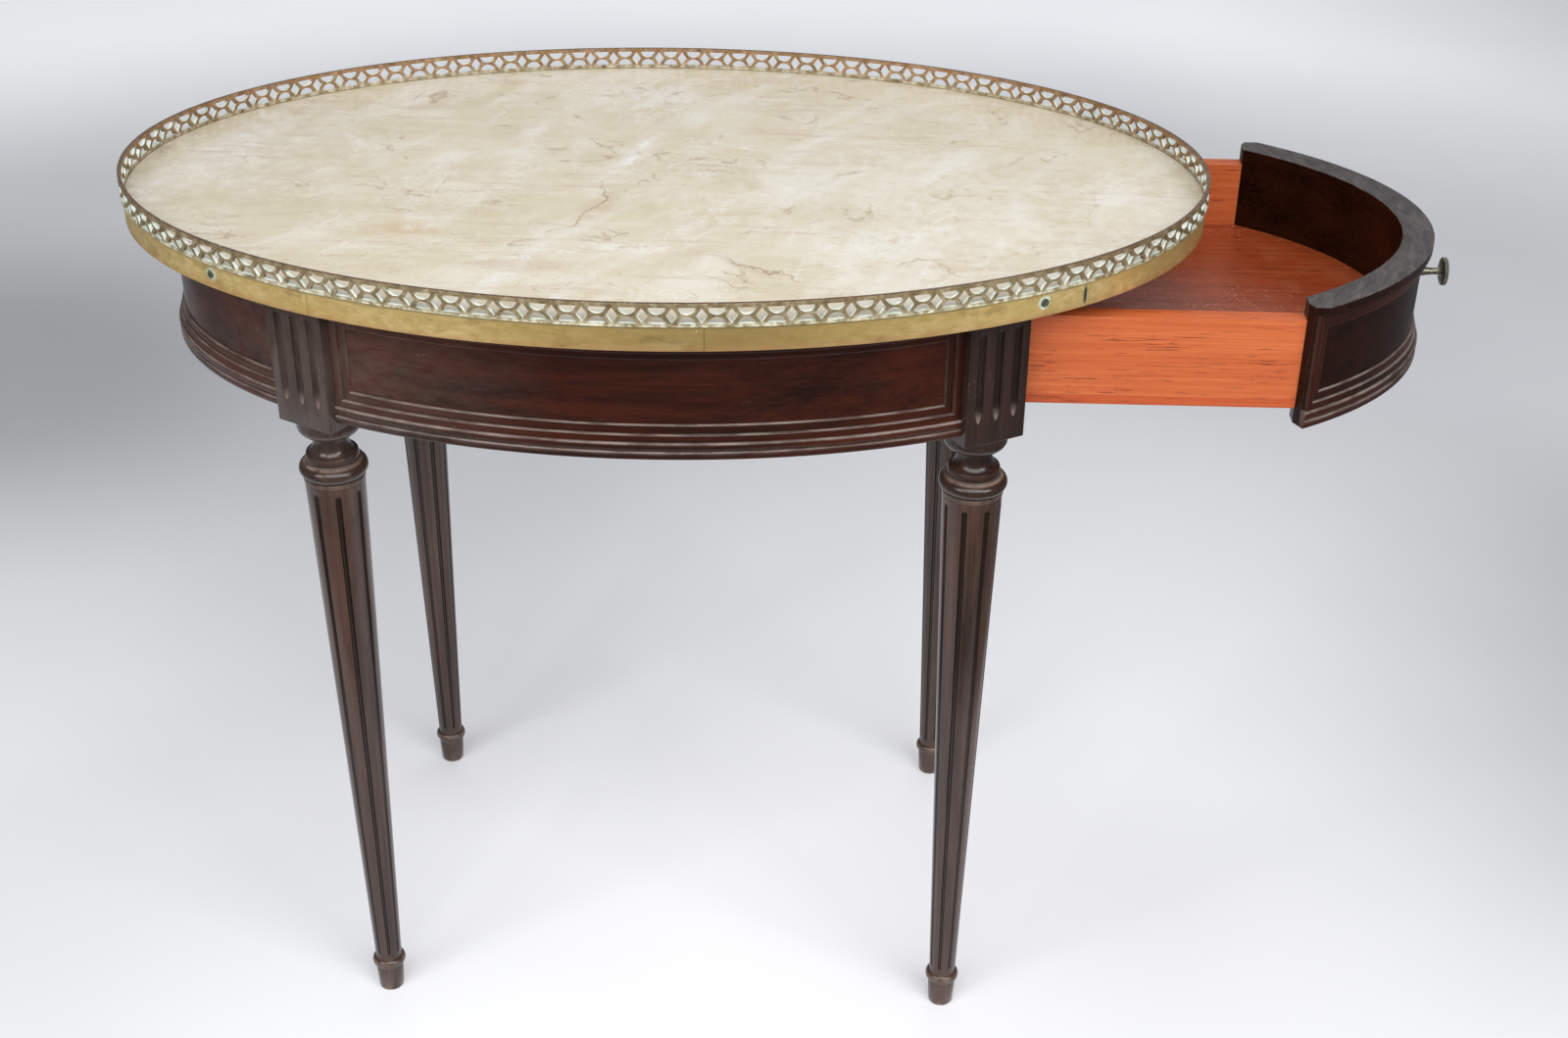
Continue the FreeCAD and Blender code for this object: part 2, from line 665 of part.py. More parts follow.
drawer = panel_rings("drawer", "front_end_gap", "front_stile", "drawer_front_top", RIGHT_CORNERS)
right_zone = box("right_zone", "apron_half_long", "2 * leg_y", "block_high",
                 "side_front_end", "-leg_y", "block_foot")
hole_start = ("inside_half_long - overrun", "0", "apron_foot + knob_up")
knob_hole = rod("knob_hole", "knob_screw_radius + hole_gap", "apron_thick + 2 * overrun", *hole_start)
head_hole = rod("knob_head_hole", "knob_screw_head_radius + hole_gap", "overrun + knob_screw_head_thick",
                *hole_start)
knob_holes = fuse("knob_holes", turn(knob_hole, ACROSS, "90"), turn(head_hole, ACROSS, "90"))
drawn("drawer_front", cut("drawer_front_drilled", common("right", drawer[""], right_zone), knob_holes))
for suffix in ("_frame", "_base"):
    drawn("drawer_front" + suffix, common("right" + suffix, drawer[suffix], right_zone))

box_long = "(side_front_end + drawer_box_back)"
for side, sign in SIDES.items():
    middle = "%d * (side_from_middle - side_thick / 2)" % sign
    board = box("side_" + side, box_long, "side_thick", "side_high - slip_high",
                "-drawer_box_back", middle + " - side_thick / 2", "drawer_side_foot + slip_high")
    drawn("drawer_side_" + side, board)
    strip = box("strip_" + side, box_long, "side_thick", "slip_high",
                "-drawer_box_back", middle + " - side_thick / 2", "drawer_side_foot")
    ledge = box("ledge_" + side, box_long, "slip_ledge_wide", "slip_ledge_high", "-drawer_box_back",
                "%d * (side_from_middle - side_thick - slip_ledge_wide / 2) - slip_ledge_wide / 2" % sign,
                "drawer_side_foot")
    drawn("drawer_slip_" + side, fuse("slip_" + side, strip, ledge))
inner_half = "(side_from_middle - side_thick)"
back_board = box("back_board", "drawer_back_thick", "2 * " + inner_half, "drawer_side_top - drawer_floor_top",
                 "-drawer_box_back", "-" + inner_half, "drawer_floor_top")
drawn("drawer_back", back_board)
floor_blank = box("floor_blank", "drawer_box_back + inside_half_long", "2 * " + inner_half, "floor_thick",
                  "-drawer_box_back", "-" + inner_half, "drawer_floor_top - floor_thick")
floor_line = oval("floor_line", *lifted(INSIDE, "-floor_gap"), "drawer_floor_top - floor_thick - overrun",
                  "drawer_floor_top + overrun")
drawn("drawer_bottom", common("floor", floor_blank, floor_line))


def turned_out(thing):
    """Lay an upright turned piece along +X at the knob's height."""
    return place(turn(thing, ACROSS, "90"), "field_half_long", "0", "apron_foot + knob_up")


rose_hole = rod("rose_hole", "knob_screw_radius + hole_gap", "rose_thick + 2 * overrun", z="-overrun")
rose = cut("rose", cone("rose_blank", "rose_radius", "knob_stem_radius", "rose_thick"), rose_hole)
drawn("knob_rose", turned_out(group("rose_laid", rose)))
stem_end = "(rose_thick + knob_stem_long)"
neck_at = "(knob_neck_share * knob_stem_long)"
knob_blank = fuse(
    "knob_blank",
    cone("stem_low", "knob_stem_radius", "knob_neck_radius", neck_at, z="rose_thick"),
    cone("stem_high", "knob_neck_radius", "knob_neck_radius + knob_rim_bead", "knob_stem_long - " + neck_at,
         z="rose_thick + " + neck_at),
    rod("knob_disc", "knob_radius - knob_rim_bead", "knob_disc_thick - knob_rim_bead", z=stem_end),
    torus("knob_rim", "knob_radius - knob_rim_bead", "knob_rim_bead", z=stem_end + " + knob_disc_thick / 2"),
    cone("knob_face", "knob_radius - knob_rim_bead", "knob_stem_radius", "knob_rim_bead",
         z=stem_end + " + knob_disc_thick - knob_rim_bead"),
)
screw_reach = "(rose_thick + knob_stem_long / 2)"
knob_bore = rod("knob_bore", "knob_screw_radius + hole_gap", screw_reach + " + overrun", z="-overrun")
drawn("drawer_knob", turned_out(group("knob_laid", cut("knob", knob_blank, knob_bore))))
screw_in = "(apron_thick - panel_sunk)"
knob_screw = fuse(
    "knob_screw_blank",
    rod("knob_screw_shank", "knob_screw_radius", screw_in + " + " + screw_reach, z="-" + screw_in),
    rod("knob_screw_head", "knob_screw_head_radius", "knob_screw_head_thick", z="-" + screw_in),
)
drawn("knob_screw", turned_out(group("knob_screw_laid", knob_screw)))


# Frame pieces inside: runners and guides, kickers, cross rail, stop and glue blocks
inside_block = oval("inside_block", *INSIDE, "block_foot", "frame_top")
inner_foot = "(apron_foot + runner_foot_gap)"
cross_blank = box("cross_blank", "cross_rail_thick", "2 * apron_half_wide",
                  "frame_top - cross_rail_top_gap - " + inner_foot,
                  "cross_rail_face - cross_rail_thick", "-apron_half_wide", inner_foot)
whole("cross_rail", common("cross_rail_fitted", cross_blank, inside_block))
blocks = leg_boxes("blocks_clear", "0", RIGHT_CORNERS)


def sunk_screw(name, grow, x, y):
    """A screw with a sunk head, up through a kicker into the top board, or its hole when grown."""
    shank = rod(name + "_shank", "kicker_screw_radius + " + grow,
                "recess_floor - kicker_screw_point_gap + %s - kicker_foot" % grow, x, y, "kicker_foot")
    head = cone(name + "_head", "kicker_screw_head_radius + " + grow, "kicker_screw_radius + " + grow,
                "kicker_screw_head_high", x, y, "kicker_foot")
    return fuse(name, shank, head)


kicker_screws = []
kicker_holes = []
outer_edge = "(notch_half_wide + runner_guide_thick)"
run_long = "leg_x - cross_rail_face"
for side, sign in SIDES.items():
    low_edge, guide_edge = "side_from_middle - runner_wide", "notch_half_wide"
    if sign < 0:
        low_edge = guide_edge = "-" + outer_edge
    low = box("runner_low_" + side, run_long, "%s - side_from_middle + runner_wide" % outer_edge,
              "runner_top - " + inner_foot, "cross_rail_face", low_edge, inner_foot)
    guide = box("runner_guide_" + side, run_long, "runner_guide_thick", "runner_guide_high",
                "cross_rail_face", guide_edge, "runner_top")
    runner = common("runner_fitted_" + side, fuse("runner_blank_" + side, low, guide), inside_block)
    whole("drawer_runner_" + side, cut("runner_" + side, runner, blocks))
    kicker_middle = "%d * (side_from_middle - side_thick / 2)" % sign
    kicker = box("kicker_blank_" + side, run_long, "kicker_wide", "frame_top - kicker_foot",
                 "cross_rail_face", kicker_middle + " - kicker_wide / 2", "kicker_foot")
    holes = []
    for number in (0, 1):
        along = "cross_rail_face + kicker_wide + %d * kicker_screw_share * (%s)" % (number, run_long)
        name = "_%s_%d" % (side, number + 1)
        kicker_screws.append(sunk_screw("kicker_screw" + name, "0", along, kicker_middle))
        holes.append(sunk_screw("kicker_hole" + name, "hole_gap", along, kicker_middle))
    kicker_holes += holes
    fitted = cut("kicker_" + side, common("kicker_fitted_" + side, kicker, inside_block), blocks)
    drilled = cut("kicker_drilled_" + side, fitted, group("kicker_holes_" + side, *holes))
    whole("drawer_kicker_" + side, drilled)
whole("kicker_screws", group("kicker_screw_set", *kicker_screws))

stop_blank = box("stop_blank", "stop_thick", "stop_long", "frame_top - stop_foot",
                 "stop_face", "-stop_long / 2", "stop_foot")
stop_middle = ("stop_face + stop_thick / 2", "0")
stop_hole = rod("stop_hole", "stop_screw_radius + hole_gap", "stop_screw_long + hole_gap",
                *stop_middle, "stop_foot")
whole("drawer_stop", cut("stop", stop_blank, stop_hole))
stop_shank = rod("stop_screw_shank", "stop_screw_radius", "stop_screw_long", *stop_middle, "stop_foot")
stop_head = rod("stop_screw_head", "stop_screw_head_radius", "stop_screw_head_thick",
                *stop_middle, "stop_foot - stop_screw_head_thick")
whole("drawer_stop_screw", fuse("stop_screw", stop_shank, stop_head))
glue_reach = "(apron_thick + 2 * glue_block_size)"
glue_reach_end = "(apron_thick + 3 * glue_block_size)"
glue_foot = "frame_top - glue_block_size"
glue_blocks = []
for corner, (side_x, side_y) in CORNERS.items():
    blank = box("glue_blank_" + corner, "glue_block_long", "2 * " + glue_reach, "glue_block_size",
                "%d * glue_block_share * leg_x - glue_block_long / 2" % side_x,
                "%d * apron_half_wide - %s" % (side_y, glue_reach), glue_foot)
    glue_blocks.append(common("glue_block_" + corner, blank, inside_block))
for side, sign in SIDES.items():
    blank = box("glue_blank_end_" + side, glue_reach_end, "glue_block_long", "glue_block_size",
                "-apron_half_long", "%d * glue_block_share * leg_y - glue_block_long / 2" % sign, glue_foot)
    glue_blocks.append(common("glue_block_end_" + side, blank, inside_block))
whole("glue_blocks", group("glue_block_set", *glue_blocks))
board_holes = group("board_holes", *kicker_holes, stop_hole, *band_holes)
whole("top_board", cut("top_board_drilled", board_bedded, board_holes))


# Every object must have worked, and every piece must be sound, before anything is written
doc.recompute()
for thing in doc.Objects:
    if {"Invalid", "Error"} & set(thing.State):
        raise RuntimeError("%s did not work: %s" % (thing.Name, thing.State))
for piece in PIECES:
    if piece.Shape.isNull() or not piece.Shape.isValid() or not piece.Shape.Solids:
        raise RuntimeError("%s is not a sound solid" % piece.Label)
os.makedirs("parts", exist_ok=True)
for piece in PIECES:
    piece.Shape.exportStep("parts/%s.step" % piece.Label)
    print("%-24s %2d solids %12.1f mm3" % (piece.Label, len(piece.Shape.Solids), piece.Shape.Volume))
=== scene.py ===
import math

import bmesh
import bpy
import numpy as np
from mathutils import Matrix, Vector


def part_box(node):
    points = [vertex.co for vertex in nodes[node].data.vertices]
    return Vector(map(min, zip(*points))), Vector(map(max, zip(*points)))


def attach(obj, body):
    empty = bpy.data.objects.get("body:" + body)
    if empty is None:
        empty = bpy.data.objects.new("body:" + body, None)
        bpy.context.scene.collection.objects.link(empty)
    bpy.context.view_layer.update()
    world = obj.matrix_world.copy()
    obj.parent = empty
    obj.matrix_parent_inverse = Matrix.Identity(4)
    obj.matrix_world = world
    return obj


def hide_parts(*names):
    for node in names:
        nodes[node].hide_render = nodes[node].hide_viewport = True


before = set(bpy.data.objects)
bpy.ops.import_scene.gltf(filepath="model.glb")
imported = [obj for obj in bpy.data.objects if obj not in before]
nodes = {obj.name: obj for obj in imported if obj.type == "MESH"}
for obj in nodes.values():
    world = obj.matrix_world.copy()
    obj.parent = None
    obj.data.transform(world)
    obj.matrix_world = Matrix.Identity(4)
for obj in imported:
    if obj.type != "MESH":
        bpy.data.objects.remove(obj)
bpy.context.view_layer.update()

# Sizes in millimetres, as in the CAD model; pieces are drawn about the table's own middle and then set out
MIDDLE_X = sum(v.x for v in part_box("marble_top")) / 2 * 1000
DRAWER_OPEN = 221.0
FIELD_A, FIELD_B = 411.0, 249.0  # half lengths of the oval that the aprons' faces lie on
BASE_PROUD = 6.5
LEG_X, LEG_Y, LEG_TURN = 258.32, 176.24, math.radians(28.8)
BLOCK = 27.0  # half the width of a corner block
FRAME_TOP, BLOCK_FOOT, APRON_FOOT = 721.5, 607.0, 615.0
OPENING_HALF, OPENING_Z, OPENING_HIGH = 171.55, 665.9, 77.0
KNOB_Z = APRON_FOOT + 57.8
MARBLE_A, MARBLE_B, MARBLE_Z = 446.7, 281.7, 741
GALLERY_A, GALLERY_B = 450.0, 285.0


# ---- mesh helpers
def new_object(name, data):
    obj = bpy.data.objects.new(name, data)
    bpy.context.scene.collection.objects.link(obj)
    return obj


def add_piece(name, soup, body, stands_for, shift=0.0, sharp=50):
    """A mesh piece from a soup; edges that turn by more than sharp degrees stay crisp."""
    mesh = bpy.data.meshes.new(name)
    points = (np.asarray(soup.verts, float) + np.array([MIDDLE_X + shift, 0, 0])) / 1000
    mesh.from_pydata(points.tolist(), [], soup.faces)
    mesh.update()
    grain = mesh.attributes.new("grain", "FLOAT_VECTOR", "POINT")
    grain.data.foreach_set("vector", (np.asarray(soup.grain, float) / 1000).astype(np.float32).ravel())
    for label, values in (("wear", soup.wear), ("dust", soup.dust)):
        held = mesh.attributes.new(label, "FLOAT", "POINT")
        held.data.foreach_set("value", np.asarray(values, np.float32).ravel())
    bm = bmesh.new()
    bm.from_mesh(mesh)
    bmesh.ops.recalc_face_normals(bm, faces=bm.faces)
    bm.to_mesh(mesh)
    bm.free()
    mesh.shade_smooth()
    mesh.set_sharp_from_angle(angle=math.radians(sharp))
    obj = new_object(name, mesh)
    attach(obj, body)
    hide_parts(*stands_for)
    return obj


def arc(r0, z0, radius, first, last, count):
    """Points of a circular arc in a profile plane, angles in degrees."""
    angles = [math.radians(first + (last - first) * k / count) for k in range(count + 1)]
    return [(r0 + radius * math.cos(a), z0 + radius * math.sin(a)) for a in angles]


class Soup:
    """Collects several grids of points into one mesh, with the grain, the wear with its painted highlight and shade,
    and the dust at each point.
    """
    def __init__(self):
        self.verts, self.faces, self.grain, self.wear, self.dust = [], [], [], [], []

    def grid(self, rows, grain, wear=0.0, dust=0.0, wrap=False):
        """rows[i][j] are points; faces join neighbours, and the columns close up when wrap is set."""
        rows = np.asarray(rows, float)
        n, m = rows.shape[:2]
        start = len(self.verts)
        self.verts.extend(rows.reshape(-1, 3).tolist())
        self.grain.extend(np.asarray(grain, float).reshape(-1, 3).tolist())
        for kept, values in ((self.wear, wear), (self.dust, dust)):
            kept.extend(np.broadcast_to(np.asarray(values, float), (n, m)).ravel().tolist())
        for i in range(n - 1):
            low, high = start + i * m, start + (i + 1) * m
            for j in range(m if wrap else m - 1):
                k = (j + 1) % m
                self.faces.append((low + j, low + k, high + k, high + j))
        return start

    def lathe(self, section, segments, seed=0.0):
        """Rows of (radius, z), with or without wear and dust, turned about z."""
        section = np.array(section, float)
        radius, z = section[:, :1], section[:, 1:2]
        wear, dust = (section[:, 2:3], section[:, 3:]) if section.shape[1] > 2 else (0.0, 0.0)
        angles = np.linspace(0, 2 * np.pi, segments, endpoint=False)
        rows = np.stack([radius * np.cos(angles), radius * np.sin(angles), np.repeat(z, segments, 1)], 2)
        return self.grid(rows, grain_up(rows, seed), wear, dust, wrap=True)


def grain_up(points, seed):
    """Grain along the piece's height; the seed gives each leg its own figure."""
    return np.stack([points[..., 2] + seed, points[..., 0], points[..., 1]], -1)


# ---- oval geometry
MIDDLES = {"front": -math.pi / 2, "right": 0.0, "back": math.pi / 2, "left": math.pi}
CORNERS = {"front": ((-1, -1), (1, -1)), "right": ((1, -1), (1, 1)), "back": ((1, 1), (-1, 1)),
           "left": ((-1, 1), (-1, -1))}
HALVINGS = 48


def oval_point(t, proud):
    """The point at angle t of the oval that stands proud of the aprons' faces."""
    return np.stack([(FIELD_A + proud) * np.cos(t), (FIELD_B + proud) * np.sin(t)], -1)


TABLE_T = np.linspace(-math.pi, 2 * math.pi, 3001)
TABLE_S = np.concatenate([[0], np.cumsum(np.hypot(*np.diff(oval_point(TABLE_T, BASE_PROUD), axis=0).T))])


def arc_length(t):
    return np.interp(t, TABLE_T, TABLE_S)


def leg_turn(side_x, side_y):
    return -side_x * side_y * LEG_TURN


def end_angle(side, which, proud, away):
    """Oval angles where the rows of an apron's profile meet planes a given way off its leg block."""
    side_x, side_y = CORNERS[side][which]
    turn = leg_turn(side_x, side_y)
    centre, along = np.array([side_x * LEG_X, side_y * LEG_Y]), np.array([math.cos(turn), math.sin(turn)])
    middle = MIDDLES[side]
    normal = along if (oval_point(middle, 0.0) - centre) @ along > 0 else -along
    near = math.atan2(side_y * LEG_Y / FIELD_B, side_x * LEG_X / FIELD_A)
    while near < middle - math.pi:
        near += 2 * math.pi
    while near > middle + math.pi:
        near -= 2 * math.pi
    low, high = np.full(proud.shape, near), np.full(proud.shape, middle)
    for _ in range(HALVINGS):
        mid = (low + high) / 2
        inside = (oval_point(mid, proud) - centre) @ normal < BLOCK + away
        low, high = np.where(inside, mid, low), np.where(inside, high, mid)
    return (low + high) / 2


def swept(soup, side, heights, prouds, aways, wear, dust, count):
    """A profile of rows swept along an apron, each row ending on its own offset of the leg blocks' sides."""
    first, last = (end_angle(side, which, prouds, aways)[:, None] for which in (0, 1))
    t = first + (last - first) * np.linspace(0, 1, count + 1)[None, :]
    prouds, heights = prouds[:, None], heights[:, None]
    rows = np.concatenate([oval_point(t, prouds), np.repeat(heights[..., None], count + 1, 1)], 2)
    grain = np.stack([arc_length(t), rows[..., 2], np.repeat(prouds, count + 1, 1)], 2)
    return soup.grid(rows, grain, wear[:, None], dust[:, None])


# Panel frame section: place across the frame (0 outer edge, 1 the step between, 2 inner edge), height, wear, dust; the
# wear on the steps' rounded edges is partly real wear and partly painted highlight
FRAME_SECTION = [
    (0, -0.8, 0, 0.3), (0, 4.0, 0.1, 0.3), (0.04, 4.35, 0.1, 0.1), (0.1, 4.4, 0, 0), (0.5, 4.4, 0, 0),
    (0.8, 4.38, 0, 0), (0.87, 4.25, 0.15, 0), (0.93, 3.9, 0.9, 0), (0.975, 3.3, 1.0, 0), (0.995, 2.5, 0.5, 0.4),
    (1.005, 1.6, 0, 0.5), (1.045, 1.55, 0, 0.4), (1.07, 2.1, 0, 0), (1.12, 2.2, 0, 0), (1.5, 2.2, 0, 0),
    (1.78, 2.2, 0, 0), (1.87, 2.08, 0.15, 0), (1.94, 1.7, 0.9, 0), (1.985, 1.1, 1.0, 0), (2.0, 0.35, 0.5, 0.3),
    (2.01, 0.05, 0, 0.5), (2.02, -0.8, 0, 0.5)]
# Where the outer edge, the step and the inner edge lie: heights at the foot and head, and way from the end
FRAME_FOOTS, FRAME_HEADS, FRAME_ENDS = (629.5, 636.0, 643.5), (711.0, 704.0, 698.0), (0.0, 6.2, 12.8)
# Base moulding section: height, proud of the field, wear, dust; the wear on the beads' upper rounded edges is partly
# real wear and partly painted highlight
BASE_SECTION = [
    (629.9, -0.8, 0, 0.6), (629.9, 4.3, 0, 0.6), (629.85, 4.9, 0.4, 0.4), (629.6, 5.6, 0.9, 0.2), (629.1, 6.15, 1.0, 0),
    (628.4, 6.45, 0.35, 0), (627.4, 6.5, 0, 0), (625.4, 6.45, 0, 0), (624.5, 6.2, 0, 0), (624.0, 5.7, 0, 0.1),
    (623.75, 5.0, 0, 0.4), (623.6, 4.2, 0, 0.5), (622.9, 4.0, 0, 0.5), (622.3, 4.2, 0, 0.4), (622.15, 5.0, 0.2, 0.3),
    (621.9, 5.7, 0.8, 0.1), (621.4, 6.2, 0.9, 0), (620.7, 6.45, 0.2, 0), (618.4, 6.5, 0, 0), (616.6, 6.3, 0, 0),
    (615.6, 5.8, 0.2, 0), (615.1, 5.0, 0.2, 0), (615.0, 4.2, 0, 0), (615.0, -0.8, 0, 0)]
END_GAP = 0.02  # keeps each moulding's ends off the blocks
FRAME_STEPS, BASE_STEPS, UPRIGHT_STEPS = 72, 96, 13
FAINT = 0.3  # what the head rail, which faces down, has of the foot rail's wear, painted highlight and dust


def panel_frame(board, side, body, gap=0.0, stile=0.0, shift=0.0):
    """The stepped frame round a board's field: foot rail, head rail and two uprights."""
    q, proud, wear, dust = np.array(FRAME_SECTION).T
    past = np.maximum(q - 2, 0)
    foot = np.interp(q, (0, 1, 2), FRAME_FOOTS) + past * 8
    head = np.interp(q, (0, 1, 2), FRAME_HEADS) - past * 6
    away = gap + stile + END_GAP + np.interp(q, (0, 1, 2), FRAME_ENDS) + past * 6.6
    soup = Soup()
    swept(soup, side, foot, proud, away, wear, dust, FRAME_STEPS)
    swept(soup, side, head[::-1], proud[::-1], away[::-1], wear[::-1] * FAINT, dust[::-1] * FAINT, FRAME_STEPS)
    for which in (0, 1):
        t = end_angle(side, which, proud, away)
        z = foot[:, None] + (head - foot)[:, None] * np.linspace(0, 1, UPRIGHT_STEPS)[None, :]
        xy = np.repeat(oval_point(t, proud)[:, None, :], UPRIGHT_STEPS, 1)
        along, out = (np.repeat(v[:, None], UPRIGHT_STEPS, 1) for v in (arc_length(t), proud))
        # The uprights take a fifth of the rails' wear and painted highlight, and three tenths of their dust
        soup.grid(np.concatenate([xy, z[..., None]], 2), np.stack([z, along, out], 2),
                  wear[:, None] * 0.2, dust[:, None] * 0.3)
    return add_piece(board + "_moulding", soup, body, (board + "_frame",), shift)


def base_moulding(board, side, body, gap=0.0, shift=0.0):
    """The two-bead moulding under a board, closed at both ends."""
    z, proud, wear, dust = np.array(BASE_SECTION).T
    soup = Soup()
    start = swept(soup, side, z, proud, np.full(len(z), gap + END_GAP), wear, dust, BASE_STEPS)
    first = [start + i * (BASE_STEPS + 1) for i in range(len(z))]
    soup.faces += [tuple(first), tuple(i + BASE_STEPS for i in reversed(first))]
    return add_piece(board + "_skirt", soup, body, (board + "_base",), shift)


# ---- legs
SHAFT_FOOT, SHAFT_HEAD = (38.0, 11.8), (550.5, 24.4)  # height and radius
FLUTES, FLUTE_FOOT, FLUTE_HEAD = 8, 46.0, 540.5
BLOCK_FLUTES, BLOCK_FLUTE_FOOT, BLOCK_FLUTE_HEAD = (-16.0, 0.0, 16.0), 636.0, 701.5
BLOCK_FLUTE_RADIUS, BLOCK_FLUTE_SIDES = 3.5, 28
DARKER = 0.65  # wear below nought darkens the wood


def leg_neck():
    """Turned part from the block down to the shaft: rows of (radius, height, wear, dust)."""
    rows = [(25.6, 607.4, 0, 0.5), (25.7, 606, 0, 0.1), (25.7, 601, 0, 0)]
    rows += [(r, z, 0, 0) for r, z in arc(17.7, 600, 8, 0, -82, 9)]
    rows += [(17.2, 592, 0.1, 0.6), (15.6, 591.7, 0, 1), (14.7, 591.2, 0, 0.8), (14.4, 590.2, 0, 0.2),
             (14.4, 585.5, 0, 0)]
    rows += [(14.4 + 6.2 * (1 - math.cos(a)), 585.5 - 10.6 * math.sin(a), 0.12 * k / 8, 0)
             for k, a in enumerate(np.linspace(0.12, math.pi / 2, 9))]
    rows += [(21, 574, 0.25, 0), (21.35, 572.6, 0.15, 0), (21.5, 571, 0, 0), (21.4, 569.6, 0, 0),
             (21, 568.4, 0, 0.3), (20.6, 567.7, 0, 1), (20.9, 567.25, 0, 1), (21.6, 567.15, 0.5, 0.5),
             (22.4, 567, 1, 0.1)]
    rows += [(r, z, max(0, 1 - k * 0.35), 0) for k, (r, z) in enumerate(arc(21.3, 560.5, 6.5, 72, -66, 16))]
    rows += [(23.4, 554.6, 0, 0.5), (22.7, 554.2, 0, 1), (22.6, 553.9, 0, 1), (24, 553.7, 0.2, 0.4),
             (24.8, 553.4, 0.8, 0), (25, 552.7, 0.5, 0), (25, 551.2, 0.5, 0), (24.8, 550.6, 0.9, 0),
             (24.2, 550.3, 0.2, 0.5), (24.1, 549.9, 0, 0.7)]
    return [(r, z, wear - DARKER * (1 - wear), dust) for r, z, wear, dust in rows]


def leg_foot():
    """Bead and tapering foot under the shaft, in the same kind of rows."""
    rows = [(11.7, 38.6, 0, 0.5), (11.9, 38, 0, 1)]
    rows += [(r, z, 0.5 if 2 < k < 6 else 0.1, 0) for k, (r, z) in enumerate(arc(9.6, 32.5, 5.5, 68, -68, 12))]
    return rows + [(12, 27.2, 0, 1), (12.3, 26.6, 0, 0.7), (12.45, 26, 0.1, 0), (11.9, 14, 0.15, 0),
                   (11.2, 3, 0.35, 0), (10.9, 1.2, 0.7, 0), (10.3, 0.3, 0.9, 0), (9.6, 0, 0.3, 0),
                   (0.01, 0, 0, 0)]


def fluted_shaft(soup, seed):
    """The tapering shaft: thirteen columns in each flute and five on each land."""
    (low, thin), (high, thick) = SHAFT_FOOT, SHAFT_HEAD
    across = np.cos(np.linspace(math.pi, 0, 13))
    rows, wear = [], []
    for z in np.concatenate([[549.9, 549.2, 547.0, 544.0, 542.6], FLUTE_HEAD + 2.3 - np.linspace(0, 2.3, 8),
                             np.linspace(FLUTE_HEAD - 1, FLUTE_FOOT + 1, 60), FLUTE_FOOT - np.linspace(0, 1.2, 6),
                             [42.5, 40.0, 38.2]]):
        radius = thin + (thick - thin) * (z - low) / (high - low)
        groove = np.interp(z, [FLUTE_FOOT, FLUTE_HEAD], [1.3, 2.45])
        beyond = (z - FLUTE_HEAD) if z > FLUTE_HEAD else max(FLUTE_FOOT - z, 0.0) * 1.1
        reach = math.sqrt(max(groove ** 2 - beyond ** 2, 0.0))
        half = math.asin(groove / radius)
        land = 2 * math.pi / FLUTES - 2 * half
        ring, worn_and_painted_light = [], []
        for k in range(FLUTES):
            middle = 2 * math.pi * k / FLUTES - math.pi / 2
            for offset in across * groove:
                depth = math.sqrt(max(reach ** 2 - offset ** 2, 0.0)) * 1.05
                ring.append((middle + math.asin(offset / radius), radius - depth))
                # Painted shade: the wood inside a flute is darkened more the deeper the flute is cut
                worn_and_painted_light.append(-min(1.0, 1.4 * depth / groove))
            for j in range(1, 6):
                ring.append((middle + half + land * j / 6, radius))
                worn_and_painted_light.append(0.0)
        angle, out = np.array(ring).T
        rows.append(np.stack([out * np.cos(angle), out * np.sin(angle), np.full(len(ring), z)], 1))
        wear.append(worn_and_painted_light)
    rows = np.array(rows)
    soup.grid(rows, grain_up(rows, seed), wear, wrap=True)


def cut_flutes(tools):
    """Adds the cutters of a block's three flutes, pointed at the foot and domed at the head."""
    low, high, radius = BLOCK_FLUTE_FOOT, BLOCK_FLUTE_HEAD, BLOCK_FLUTE_RADIUS
    rings = [(max(0.004, radius * s ** 0.55), low - 9.0 * (1 - s)) for s in np.linspace(0.0, 1, 12) ** 1.4]
    rings += [(radius, z) for z in np.linspace(low + 1, high - 1, 16)]
    rings += [(radius * math.cos(a), high + radius * math.sin(a)) for a in np.linspace(0, math.pi / 2 - 0.001, 9)]
    for x in BLOCK_FLUTES:
        loops = [[tools.verts.new((x + r * math.cos(a), -BLOCK + r * math.sin(a), z))
                  for a in np.linspace(0, 2 * math.pi, BLOCK_FLUTE_SIDES, endpoint=False)] for r, z in rings]
        for one, two in zip(loops, loops[1:]):
            for j in range(BLOCK_FLUTE_SIDES):
                k = (j + 1) % BLOCK_FLUTE_SIDES
                tools.faces.new((one[j], one[k], two[k], two[j]))
        tools.faces.new(loops[0][::-1])
        tools.faces.new(loops[-1])


def cut_opening(tools, inverse):
    """Adds the drawer opening, which the two blocks at the drawer's end stand partly in."""
    notch = bmesh.new()
    bmesh.ops.create_cube(notch, size=1.0)
    for v in notch.verts:
        v.co = inverse @ Vector((v.co.x * 300 + LEG_X, v.co.y * 2 * OPENING_HALF, OPENING_Z + v.co.z * OPENING_HIGH))
    bmesh.ops.recalc_face_normals(notch, faces=notch.faces)
    spare = bpy.data.meshes.new("notch_tool")
    notch.to_mesh(spare)
    notch.free()
    tools.from_mesh(spare)
    bpy.data.meshes.remove(spare)


